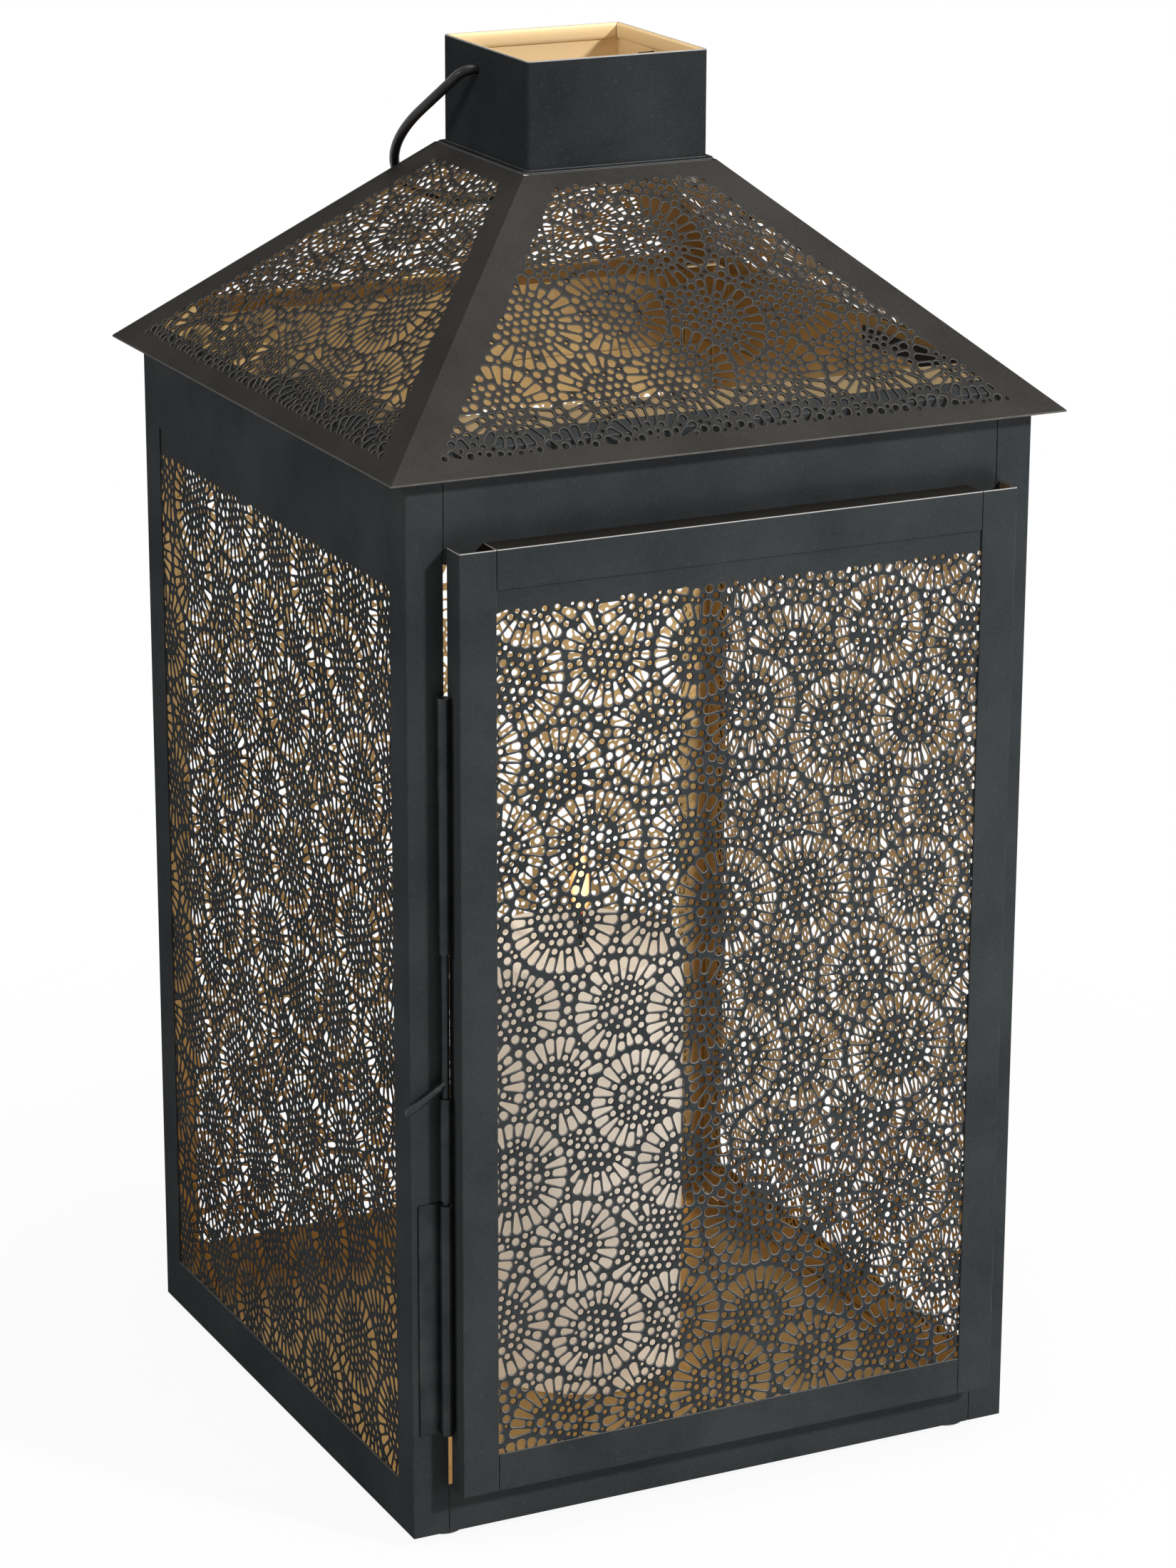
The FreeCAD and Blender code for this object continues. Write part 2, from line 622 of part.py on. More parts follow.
def makeHinges():
    """Two hinges: the lower knuckle of each is on the post, the upper one on the door."""
    line = ("Places.hingeLine", "Places.barrelLine")
    length = "Places.knuckleLength"
    for name, low in (("upper", "Places.hingeUpperLow"), ("lower", "Places.hingeLowerLow")):
        above = "%s + Places.knuckleLength + Sizes.knuckleGap" % low
        frameWeb = webToBody(line)
        doorWeb = webToDoor("Places.doorRight", line[0])
        barrel("hinge_frame_" + name, line, low, length, "Places.hingeOuter", "Places.hingeBore", frameWeb)
        barrel("hinge_door_" + name, line, above, length, "Places.hingeOuter", "Places.hingeBore", doorWeb)
        shank = "Sizes.hingeLength + Sizes.knuckleGap"
        section = [
            ("0", "0"),
            ("Sizes.hingePin / 2", "0"),
            ("Sizes.hingePin / 2", shank),
            ("Sizes.hingeHead / 2", shank),
            ("Sizes.hingeHead / 2", shank + " + Sizes.hingeHeadHeight"),
            ("0", shank + " + Sizes.hingeHeadHeight"),
        ]
        put(turnedPiece("hinge_pin_" + name, section), *line, low)


def makeBolt():
    """Guides on the door, a keeper on the left front post, and the rod with its bent handle."""
    line = ("Places.boltLine", "Places.barrelLine")
    outer = "Places.guideOuter"
    bore = "Places.guideBore"
    doorWeb = webToDoor(line[0], "Places.doorLeft")
    for name, key in (("bolt_guide_upper", "guideUpper"), ("bolt_guide_lower", "guideLower")):
        low = "Places.%sLow" % key
        length = "Places.%sTop - %s" % (key, low)
        barrel(name, line, low, length, outer, bore, doorWeb)
    flange = block(
        "bolt_keeper_flange",
        ("Sizes.keeperFlange", "Sizes.panelSheet", "Sizes.keeperLength"),
        ("Places.boltLine - Sizes.keeperFlange", "-Places.halfDepth - Sizes.panelSheet", "Places.keeperLow"),
    )
    web = webToBody(line)
    barrel("bolt_keeper", line, "Places.keeperLow", "Sizes.keeperLength", outer, bore, web, [flange])
    shank = easedRod("Sizes.boltDiameter / 2", "Places.boltLength", "Sizes.boltChamfer")
    put(turnedPiece("bolt_rod", shank), *line, "Places.boltLow")
    makeHandle(line)


def makeHandle(line):
    """A round stub from the rod, out to the left and down, with a rounded end."""
    stub = rod("handle_stub", "Sizes.handleDiameter", "Sizes.handleLength", ("0", "0", "0"))
    tip = doc.addObject("Part::Sphere", "handle_tip")
    tip.setExpression("Radius", "Sizes.handleDiameter / 2")
    put(tip, z="Sizes.handleLength")
    whole = fused("handle_whole", [stub, tip])
    lean = FreeCAD.Rotation(Vector(0, 1, 0), -90 - size("handleDrop"))
    put(whole, *line, "Places.handleHeight", lean)
    low = "Places.handleHeight - Sizes.handleLength / 2"
    seat = rod("handle_seat", "Sizes.boltDiameter", "Sizes.handleLength", line + (low,))
    keep(less("bolt_handle", whole, seat), "bolt_handle")


# ---------------------------------------------------------------- door frame


def makeDoorFrame():
    """Stiles run the full height with a return on the outer side, and the rails are butted between them."""
    stileLength = "Places.doorTop - Places.doorLow"
    railLength = "Places.doorWidth - 2 * (Sizes.doorStileWidth + Sizes.seamGap)"
    edges = [
        ("door_stile_left", "Places.doorLeft", "+", "Sizes.doorStileWidth"),
        ("door_stile_right", "Places.doorRight", "-", "Sizes.doorStileWidth"),
        ("door_rail_bottom", "Places.doorLow", "+", "Sizes.doorRailWidth"),
        ("door_rail_top", "Places.doorTop", "-", "Sizes.doorRailWidth"),
    ]
    for label, edge, sign, wide in edges:
        inner = "%s %s Sizes.panelSheet" % (edge, sign)
        far = "%s %s %s" % (edge, sign, wide)
        behind = "Places.doorFace + Sizes.panelSheet"
        outline = [
            (edge, "Places.doorBack"),
            (edge, "Places.doorFace"),
            (far, "Places.doorFace"),
            (far, behind),
            (inner, behind),
            (inner, "Places.doorBack"),
        ]
        if "stile" in label:
            put(paddedPiece(label, "XY_Plane", outline, stileLength), z="Places.doorLow")
        else:
            turned = [(depth, height) for height, depth in outline]
            rail = paddedPiece(label, "YZ_Plane", turned, railLength, centred=True)
            put(rail, x="Places.doorMiddle")


# ---------------------------------------------------------------- candle


def makeCandle():
    spot = ("0", "-Sizes.candleFront")
    body = easedRod("Sizes.candleDiameter / 2", "Sizes.candleHeight", "Sizes.candleEdge")
    put(turnedPiece("candle", body), *spot, "Places.plateTop")
    wick = [("0", "0"), ("Sizes.wickDiameter / 2", "0"), ("Sizes.wickDiameter / 2", "Sizes.wickHeight")]
    wick.append(("0", "Sizes.wickHeight"))
    put(turnedPiece("wick", wick), *spot, "Places.plateTop + Sizes.candleHeight")


# ---------------------------------------------------------------- build, check and write

makePosts()
makeRails()
makeBasePlate()
makeFeet()
makeSidePanels()
makeRoof()
makeChimney()
makeRoofStud()
makeHinges()
makeDoorFrame()
makeDoorPanel()
makeBolt()
makeBail()
makeCandle()
doc.recompute()

faults = [thing.Name for thing in doc.Objects if "Invalid" in thing.State or "Error" in thing.State]
for piece in pieces:
    if piece.Shape.isNull() or not piece.Shape.isValid() or len(piece.Shape.Solids) != 1:
        faults.append(piece.Label)
if faults:
    raise RuntimeError("these did not build: " + ", ".join(faults))

os.makedirs("parts", exist_ok=True)
for piece in pieces:
    piece.Shape.exportStep("parts/%s.step" % piece.Label)
print("%d pieces written" % len(pieces))
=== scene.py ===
import json
import math
import random

import bmesh
import bpy
import numpy as np
from mathutils import Matrix, Vector, noise
from mathutils.geometry import delaunay_2d_cdt


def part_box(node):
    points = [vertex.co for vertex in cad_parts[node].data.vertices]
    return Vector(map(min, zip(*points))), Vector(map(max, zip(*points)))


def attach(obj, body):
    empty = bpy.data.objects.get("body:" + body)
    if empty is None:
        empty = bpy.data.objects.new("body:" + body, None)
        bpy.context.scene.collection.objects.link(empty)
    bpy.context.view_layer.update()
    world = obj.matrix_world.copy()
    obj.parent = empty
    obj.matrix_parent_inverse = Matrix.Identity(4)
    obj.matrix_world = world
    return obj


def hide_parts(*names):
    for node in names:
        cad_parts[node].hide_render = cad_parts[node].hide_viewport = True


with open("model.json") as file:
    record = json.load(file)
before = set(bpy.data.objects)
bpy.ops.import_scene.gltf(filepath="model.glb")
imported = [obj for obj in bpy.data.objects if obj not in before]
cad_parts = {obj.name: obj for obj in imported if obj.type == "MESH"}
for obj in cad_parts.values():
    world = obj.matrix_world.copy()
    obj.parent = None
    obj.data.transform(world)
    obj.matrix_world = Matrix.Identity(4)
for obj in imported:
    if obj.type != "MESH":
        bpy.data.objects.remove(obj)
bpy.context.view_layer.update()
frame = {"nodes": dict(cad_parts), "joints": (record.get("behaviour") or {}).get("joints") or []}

# candle lantern of pierced sheet metal: sheets, collar, candle and flame are made here,
# the frame, the hinges, the bolt and the bail are the CAD pieces with finishes on them
scene = bpy.context.scene
mm = 0.001
print("frame loaded,", len(frame["nodes"]), "nodes")


# one output of a shader node, used in plain sums
class Value:
    def __init__(self, finish, socket):
        self.finish = finish
        self.socket = socket

    def __add__(self, other):
        return self.finish.sum("ADD", self, other)

    def __radd__(self, other):
        return self.finish.sum("ADD", other, self)

    def __sub__(self, other):
        return self.finish.sum("SUBTRACT", self, other)

    def __rsub__(self, other):
        return self.finish.sum("SUBTRACT", other, self)

    def __mul__(self, other):
        return self.finish.sum("MULTIPLY", self, other)

    def __rmul__(self, other):
        return self.finish.sum("MULTIPLY", other, self)

    def __gt__(self, other):
        return self.finish.sum("GREATER_THAN", self, other)

    def __lt__(self, other):
        return self.finish.sum("LESS_THAN", self, other)

    def __abs__(self):
        return self.finish.sum("ABSOLUTE", self)


# the nodes of a material, or of the world
class Finish:
    def __init__(self, owner):
        self.owner = owner
        owner.use_nodes = True
        self.tree = owner.node_tree
        self.tree.nodes.clear()
        self.coordinates = self.node("TexCoord")
        self.place = Value(self, self.coordinates.outputs["Object"])

    # any node: its kind, its settings, then its sockets
    def node(self, kind, settings=None, inputs=None):
        made = self.tree.nodes.new("ShaderNode" + kind)
        for name, value in (settings or {}).items():
            setattr(made, name, value)
        for name, value in (inputs or {}).items():
            if isinstance(value, Value):
                self.tree.links.new(value.socket, made.inputs[name])
            else:
                made.inputs[name].default_value = value
        return made

    def out(self, node, name=0):
        return Value(self, node.outputs[name])

    def sum(self, operation, *terms):
        return self.out(self.node("Math", {"operation": operation}, dict(enumerate(terms))))

    # steady 0 to 1 as the value goes from low to high
    def ramp(self, value, low, high):
        inputs = {"Value": value, "From Min": low, "From Max": high}
        return self.out(self.node("MapRange", {"clamp": True}, inputs), "Result")

    # cloudy noise from 0 to 1, its grain in millimetres
    def cloud(self, grain, detail=3.0, rough=0.55, stretch=(1, 1, 1), seed=0.0):
        scale = tuple(share / (grain * mm) for share in stretch)
        placed = {"Vector": self.place, "Scale": scale, "Location": (seed, seed, seed)}
        moved = self.out(self.node("Mapping", {"vector_type": "POINT"}, placed))
        grains = {"Vector": moved, "Scale": 1.0, "Detail": detail, "Roughness": rough}
        return self.out(self.node("TexNoise", {}, grains), "Fac")

    # two colours, each a Value or three numbers: sockets 0, 6 and 7 are the share and the colours
    def mix(self, share, first, second):
        first, second = (c if isinstance(c, Value) else (*c, 1.0) for c in (first, second))
        made = self.node("Mix", {"data_type": "RGBA"}, {0: share, 6: first, 7: second})
        return self.out(made, 2)

    def bump(self, height, depth, under=None):
        inputs = {"Height": height, "Strength": 1.0, "Distance": depth * mm}
        if under is not None:
            inputs["Normal"] = under
        return self.out(self.node("Bump", {}, inputs))

    # the three coordinates of a place, in millimetres
    def split(self):
        longer = self.node("VectorMath", {"operation": "SCALE"}, {"Vector": self.place, "Scale": 1 / mm})
        parts = self.node("SeparateXYZ", {}, {"Vector": self.out(longer)})
        return [self.out(parts, axis) for axis in "XYZ"]

    def surface(self, fixed, varied):
        shader = self.node("BsdfPrincipled", {}, {**fixed, **varied})
        self.node("OutputMaterial", {}, {"Surface": self.out(shader)})
        return self.owner

    # the normal as if edges were rounded to a radius
    def rounded(self, radius):
        return self.out(self.node("Bevel", {"samples": 6}, {"Radius": radius * mm}))

    # 1 where the surface turns sharply within the width
    def edgeWearAndHighlight(self, width):
        rounded = self.rounded(width)
        flat = self.out(self.node("NewGeometry"), "Normal")
        agree = self.node("VectorMath", {"operation": "DOT_PRODUCT"}, {0: rounded, 1: flat})
        return self.ramp(self.out(agree, "Value"), 0.995, 0.9)     # from hardly bent to well bent


lacquer = {
    "dark": (0.025, 0.0288, 0.0315),       # the coat drifts between dark and pale
    "pale": (0.0385, 0.0425, 0.0455),
    # painted light: the roof's lacquer is a lighter, warmer copy of the walls', standing in for the warm
    # light the roof catches from above
    "roofDarkLit": (0.029, 0.0285, 0.028),
    "roofPaleLit": (0.042, 0.041, 0.0395),
    "worn": (0.165, 0.167, 0.168),         # where the coat is thin
    "specks": 0.04,                        # how much of that shows in the specks
    "beadHighlight": (0.20, 0.20, 0.198),           # round the punched holes: partly the bead's own paler lacquer, mostly a painted highlight for the light its rim catches
    "beadHighlightShare": (0.6, 0.4),               # the least of it, and how much it varies
    # the roof's bead: a painted highlight for the light on the rims of its holes, partly paler lacquer
    "roofBeadHighlight": (0.115, 0.112, 0.107),
    "recessShade": (0.021, 0.019, 0.0165),      # painted shade on the door's top, in the slit under the rail
    "highlight": (0.36, 0.365, 0.37),         # painted highlight on edges that face the light
    "rough": (0.38, 0.50),
    "metal": 0.1,
    "tint": (0.45, 0.45, 0.45, 1.0),       # dulls the glare at low angles
}
lining = {
    "gold": (0.60, 0.425, 0.20),
    "brown": (0.48, 0.32, 0.135),
    "rough": (0.3, 0.44),
    "metal": 0.8,
}
paint = {"Specular IOR Level": 0.0, "Specular Tint": lacquer["tint"]}


def lacquerParts(finish, dark=lacquer["dark"], pale=lacquer["pale"]):
    broad = finish.cloud(38)
    fine = finish.cloud(0.9, detail=2)
    specks = finish.ramp(finish.cloud(1.7, detail=1, seed=3.0), 0.66, 0.74)
    colour = finish.mix(finish.ramp(broad * 0.7 + fine * 0.3, 0.35, 0.65), dark, pale)
    colour = finish.mix(specks * lacquer["specks"], colour, lacquer["worn"])
    low, high = lacquer["rough"]
    rough = finish.ramp(broad * 0.5 + fine * 0.5, 0.3, 0.7) * (high - low) + low
    return colour, rough, fine


def liningParts(finish):
    broad = finish.cloud(30, seed=7.0)
    fine = finish.cloud(0.8, detail=2, seed=2.0)
    colour = finish.mix(finish.ramp(broad * 0.6 + fine * 0.4, 0.35, 0.65), lining["gold"], lining["brown"])
    low, high = lining["rough"]
    rough = finish.ramp(fine, 0.3, 0.7) * (high - low) + low
    return colour, rough, fine


def makeLacquer(name, dark, pale):
    finish = Finish(bpy.data.materials.new(name))
    colour, rough, fine = lacquerParts(finish, dark, pale)
    varied = {"Base Color": colour, "Roughness": rough, "Normal": finish.bump(fine, 0.03)}
    return finish.surface({**paint, "Metallic": lacquer["metal"]}, varied)


# the bead round each punched hole: its paler colour is partly thick lacquer and partly a painted highlight
# for the light its rim catches
def makeBeadHighlight(name, beadHighlight):
    finish = Finish(bpy.data.materials.new(name))
    colour, rough, fine = lacquerParts(finish)
    least, varies = lacquer["beadHighlightShare"]
    colour = finish.mix(finish.ramp(finish.cloud(2.5, seed=9.0), 0.3, 0.7) * varies + least, colour, beadHighlight)
    varied = {"Base Color": colour, "Roughness": rough, "Normal": finish.bump(fine, 0.02)}
    return finish.surface({**paint, "Metallic": lacquer["metal"]}, varied)


def makeLining():
    finish = Finish(bpy.data.materials.new("goldLining"))
    colour, rough, fine = liningParts(finish)
    varied = {"Base Color": colour, "Roughness": rough, "Normal": finish.bump(fine, 0.04)}
    return finish.surface({"Metallic": lining["metal"], "Specular IOR Level": 0.4}, varied)


frameLook = {
    "skin": 0.8,           # mm into the frame's sheet that the lacquer goes
    "doorSkin": 0.6,
    "shelf": 3.5,          # mm of the top rails' flanges that stay lacquered
    "flange": 0.28,        # how golden those flanges are further in
    "worn": (0.35, 0.4),   # mm width of the worn edges, and how much they show
    "upper": (0.6, 0.9),   # mm width of the painted highlight on edges that face up, and how strong it is
    "shadeLedge": (1.5, 0.8),   # mm down from the door's top to where its up-facing top gets painted shade, and how dark that is
    "line": (0.4, 0.9),    # mm down from the door's top to the painted highlight on its rim, and how strong it is
    "none": 1000,          # mm, further out than any piece
}


# lacquer outside, and gold lining inside the box from low to high. Above the box in the front half
# only what faces down is gold, and what lies further in than the shelf is gold in part.
# What faces up above shadeLedge gets painted shade, and the rim above line gets a painted highlight
def makeFrameFinish(name, low, high, shelf, shadeLedge, line):
    finish = Finish(bpy.data.materials.new(name))
    dark, darkRough, fine = lacquerParts(finish)
    gold, goldRough, _ = liningParts(finish)
    x, y, z = finish.split()
    facing = finish.node("SeparateXYZ", {}, {"Vector": Value(finish, finish.coordinates.outputs["Normal"])})
    under = finish.sum("MAXIMUM", finish.sum("MAXIMUM", z < high[2], y > 0), finish.out(facing, "Z") < -0.2)
    further = (y > low[1] + shelf) * (x > low[0] + shelf) * (x < high[0] - shelf)
    under = finish.sum("MAXIMUM", under, further * frameLook["flange"])
    inside = under * (z > low[2])
    for value, least, most in ((x, low[0], high[0]), (y, low[1], high[1])):
        inside = (value > least) * (value < most) * inside
    width, share = frameLook["worn"]
    wear = finish.edgeWearAndHighlight(width) * finish.ramp(finish.cloud(6, seed=5.0), 0.35, 0.6)
    dark = finish.mix(wear * share, dark, lacquer["worn"])
    upward = finish.ramp(finish.out(facing, "Z"), 0.4, 0.9)
    width, share = frameLook["upper"]
    # painted highlight along the edges that face up
    dark = finish.mix(finish.edgeWearAndHighlight(width) * upward * share, dark, lacquer["highlight"])
    # painted shade: what faces up on the door's top is darkened, as if in the shade of the rail above
    dark = finish.mix((z > shadeLedge) * upward * frameLook["shadeLedge"][1], dark, lacquer["recessShade"])
    # painted highlight: a bright line along the rim of the door's top
    rim = (z > line) * (finish.out(facing, "Z") < 0.9)
    dark = finish.mix(rim * frameLook["line"][1], dark, lacquer["highlight"])
    colour = finish.mix(inside, dark, gold)
    rough = goldRough * inside + darkRough * (1 - inside)
    varied = {
        "Base Color": colour,
        "Roughness": rough,
        "Metallic": inside * (lining["metal"] - lacquer["metal"]) + lacquer["metal"],
        "Normal": finish.bump(fine, 0.03, finish.rounded(0.7)),
    }
    return finish.surface(paint, varied)


bodyLow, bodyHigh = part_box("corner_post_front_left")[0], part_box("corner_post_rear_right")[1]
doorLow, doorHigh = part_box("door_stile_left")[0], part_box("door_stile_right")[1]
doorTop = doorHigh.z / mm
skin, doorSkin, none = frameLook["skin"], frameLook["doorSkin"], frameLook["none"]

lacquerFinish = makeLacquer("lacquer", lacquer["dark"], lacquer["pale"])
# the roof's lacquer, drawn lighter and warmer as painted light from above
roofLitFinish = makeLacquer("roofLacquerLit", lacquer["roofDarkLit"], lacquer["roofPaleLit"])
beadHighlightFinish = makeBeadHighlight("holeBeadHighlight", lacquer["beadHighlight"])
roofBeadHighlightFinish = makeBeadHighlight("roofHoleBeadHighlight", lacquer["roofBeadHighlight"])
liningFinish = makeLining()
bodyFinish = makeFrameFinish(
    "bodyFrame",
    (bodyLow.x / mm + skin, bodyLow.y / mm + skin, bodyLow.z / mm + skin),
    (bodyHigh.x / mm - skin, bodyHigh.y / mm - skin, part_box("roof_panel_front")[0].z / mm),
    frameLook["shelf"],
    none,
    none,
)
doorFinish = makeFrameFinish(
    "doorFrame",
    (doorLow.x / mm + doorSkin, doorLow.y / mm + doorSkin, doorLow.z / mm + doorSkin),
    (doorHigh.x / mm - doorSkin, none, doorTop - doorSkin),
    none,
    doorTop - frameLook["shadeLedge"][0],
    doorTop - frameLook["line"][0],
)
print("lacquer and lining made")

wireLook = {
    "dark": (0.014, 0.0135, 0.014),
    "pale": (0.032, 0.030, 0.030),
    "rough": (0.3, 0.45),
    "metal": 0.5,
    "worn": (0.3, 0.6),    # mm width of the worn edges, and how much they show
}
fittingLook = {
    "dark": (0.014, 0.0165, 0.0185),
    "pale": (0.026, 0.029, 0.0315),
    "rough": (0.26, 0.42),
    "metal": 0.4,
    "worn": (0.3, 0.6),
}


def makeWireFinish(name, look):
    finish = Finish(bpy.data.materials.new(name))
    broad = finish.cloud(9)
    fine = finish.cloud(0.7, detail=2, seed=1.0)
    width, share = look["worn"]
    wear = finish.edgeWearAndHighlight(width) * finish.ramp(broad, 0.4, 0.6)
    colour = finish.mix(finish.ramp(broad, 0.4, 0.65), look["dark"], look["pale"])
    colour = finish.mix(wear * share, colour, lacquer["worn"])
    low, high = look["rough"]
    varied = {
        "Base Color": colour,
        "Roughness": finish.ramp(fine, 0.3, 0.7) * (high - low) + low,
        "Normal": finish.bump(fine, 0.02),
    }
    return finish.surface({"Specular IOR Level": 0.3, "Metallic": look["metal"]}, varied)


wireFinish = makeWireFinish("blackWire", wireLook)
fittingFinish = makeWireFinish("blackFittings", fittingLook)


# the sheets are pierced with rosettes of radial slots round a field of dots, all in millimetres;
# a rosette laid later gives way to the earlier ones
piercing = {
    "spacing": 33.5,           # from rosette to rosette
    "row": 0.866,              # from row to row, as a share of the spacing
    "wander": 0.12,            # how far a rosette strays, as a share of the spacing
    "radius": (16.5, 20.0),
    "slotPitch": 4.2,          # from slot to slot round the ring, nearly
    "long": (7.9, 0.62),       # length of a long slot, and half its width at the inner end
    "short": (5.3, 1.15),
    "widest": 0.8,             # how far from its outer end a slot has its full width
    "outRound": (1.5, 0.82),   # a slot's corners: the largest radius, or this share of half its width
    "inRound": (0.6, 0.8),
    "ringDot": 1.12,           # radius of the dot inside each short slot
    "ringGap": 1.1,            # from the web inside that slot to the dot's middle
    "field": 1.2,              # how far the dots in the middle keep away from the long slots
    "dotStep": 3.3,            # from dot to dot there
    "dotRow": 0.9,             # from row to row, as a share of the step
    "dotStray": (0.3, 0.25),
    "dots": (1.5, 1.28, 1.28, 1.05, 0.8),
    "spareDots": (1.0, 0.75),  # tried where the first dot doesn't fit
    "fillDots": (1.35, 1.1, 0.85, 0.62),
    "fillTries": 6000,
    "web": 0.88,               # metal left between two holes
    "sheet": 0.45,             # thickness of the sheet
    "grid": 0.2,               # fineness of the plan that keeps holes apart
    "ease": 0.26,              # width of the bead round a hole on the outer face
    "sideBead": 99,            # corners a hole needs for a bead of its own colour: none has as many
    "doorBead": 9,
    "roofBeadHighlight": 8,
}


# the larger the dot, the more corners
def dotOutline(spot, radius, grow):
    corners = 10 if radius > 1.2 else 8 if radius > 0.7 else 6
    reach = radius + grow
    turns = [math.tau * i / corners for i in range(corners)]
    return [(spot[0] + reach * math.cos(t), spot[1] + reach * math.sin(t)) for t in turns]


# a slot that widens outwards along its turn, its corners rounded, grown all round
def slotOutline(centre, turn, start, end, halfStart, halfEnd, grow):
    most, share = piercing["outRound"]
    roundEnd = min(most, halfEnd * share)
    most, share = piercing["inRound"]
    roundStart = min(most, halfStart * share)
    cut = roundEnd * (1 - math.sqrt(0.5))
    side = [
        (start, halfStart - roundStart),
        (start + roundStart, halfStart),
        (end - roundEnd, halfEnd),
        (end - cut, halfEnd - cut),
        (end, halfEnd - roundEnd),
    ]
    whole = [(p, -q) for p, q in side] + [(p, q) for p, q in reversed(side)]
    middle = (start + end) / 2
    longer = 1 + 2 * grow / (end - start)
    wider = 1 + grow / halfEnd
    c, s = math.cos(turn), math.sin(turn)
    points = []
    for p, q in whole:
        p, q = middle + (p - middle) * longer, q * wider
        points.append((centre[0] + p * c - q * s, centre[1] + p * s + q * c))
    return points


# a hole is a function that gives its outline, grown by as much as is asked
def dot(spot, radius):
    return lambda grow=0.0: dotOutline(spot, radius, grow)


def slot(centre, turn, start, end, halfStart, halfEnd):
    return lambda grow=0.0: slotOutline(centre, turn, start, end, halfStart, halfEnd, grow)


# a fine grid over a sheet that knows where metal must stay
class Plan:
    def __init__(self, low, high, allowed):
        self.low = low
        step = piercing["grid"]
        across = low[0] + step * np.arange(int((high[0] - low[0]) / step) + 1)
        up = low[1] + step * np.arange(int((high[1] - low[1]) / step) + 1)
        self.u, self.v = np.meshgrid(across, up)
        self.taken = ~allowed(self.u, self.v)
        self.claimed = np.zeros_like(self.taken)
        self.holes = []

    def window(self, low, high):
        step = piercing["grid"]
        first = [max(0, int((low[k] - self.low[k]) / step)) for k in (0, 1)]
        last = [max(0, int((high[k] - self.low[k]) / step) + 2) for k in (0, 1)]
        return slice(first[1], last[1]), slice(first[0], last[0])

    # makes the hole if its outline and half a web round it are free
    def punch(self, hole):
        points = hole(piercing["web"] / 2)
        us, vs = zip(*points)
        part = self.window((min(us), min(vs)), (max(us), max(vs)))
        u, v = self.u[part], self.v[part]
        if min(u.shape) < 3:
            return False
        covered = np.ones(u.shape, bool)
        for (au, av), (bu, bv) in zip(points, points[1:] + points[:1]):
            covered &= (bu - au) * (v - av) - (bv - av) * (u - au) >= 0
        if not covered.any() or (covered & (self.taken[part] | self.claimed[part])).any():
            return False
        self.taken[part] |= covered
        self.holes.append(hole)
        return True

    def punchFirst(self, choices):
        return any(self.punch(hole) for hole in choices)

    # keeps later rosettes out of a disc
    def claim(self, centre, radius):
        low, high = [c - radius for c in centre], [c + radius for c in centre]
        part = self.window(low, high)
        self.claimed[part] |= (self.u[part] - centre[0]) ** 2 + (self.v[part] - centre[1]) ** 2 < radius**2


def layRosettes(low, high, dice):
    step = piercing["spacing"]
    shift = dice.uniform(0, step), dice.uniform(0, step)
    places = []
    rise = piercing["row"]
    for row in range(-1, int((high[1] - low[1]) / (step * rise)) + 3):
        for column in range(-1, int((high[0] - low[0]) / step) + 3):
            stray = [dice.gauss(0, piercing["wander"] * step) for _ in (0, 1)]
            u = low[0] - shift[0] + (column + 0.5 * (row % 2)) * step + stray[0]
            v = low[1] - shift[1] * 0.5 + row * step * rise + stray[1]
            places.append(((u, v), dice.uniform(*piercing["radius"])))
    dice.shuffle(places)
    return places


# each slot is punched whole, or else its outer part, its inner part or a slim short one
def punchRosette(plan, centre, radius, dice):
    count = 2 * round(math.pi * radius / piercing["slotPitch"])
    web = piercing["web"]
    halfEnd = (math.tau * (radius - piercing["widest"]) / count - web) / 2
    start = dice.uniform(0, math.tau)
    for k in range(count):
        turn = start + math.tau * k / count
        short = k % 2 == 1
        length, halfStart = piercing["short" if short else "long"]
        inner = radius - length
        widen = (halfEnd - halfStart) / length
        plan.punchFirst([
            slot(centre, turn, inner, radius, halfStart, halfEnd),
            slot(centre, turn, inner + 0.4 * length, radius, halfStart + 0.4 * length * widen, halfEnd),
            slot(centre, turn, inner, inner + 0.6 * length, halfStart, halfStart + 0.6 * length * widen),
            slot(centre, turn, inner + 0.2 * length, radius - 0.2 * length, halfStart * 0.6, halfEnd * 0.6),
        ])
        if short:
            ring = inner - web - piercing["ringGap"]
            spot = centre[0] + ring * math.cos(turn), centre[1] + ring * math.sin(turn)
            plan.punch(dot(spot, piercing["ringDot"]))
    lean = dice.uniform(0, math.tau)
    c, s = math.cos(lean), math.sin(lean)
    step = piercing["dotStep"]
    along, aside = piercing["dotStray"]
    reach = radius - piercing["long"][0] - piercing["field"]
    rows = int(reach / step) + 2
    for row in range(-rows, rows + 1):
        for column in range(-rows, rows + 1):
            p = (column + 0.5 * (row % 2)) * step + dice.uniform(-along, along)
            q = row * step * piercing["dotRow"] + dice.uniform(-aside, aside)
            size = dice.choice(piercing["dots"])
            if math.hypot(p, q) < reach:
                spot = centre[0] + p * c - q * s, centre[1] + p * s + q * c
                plan.punchFirst([dot(spot, each) for each in (size, *piercing["spareDots"])])
    plan.claim(centre, radius + web / 2)


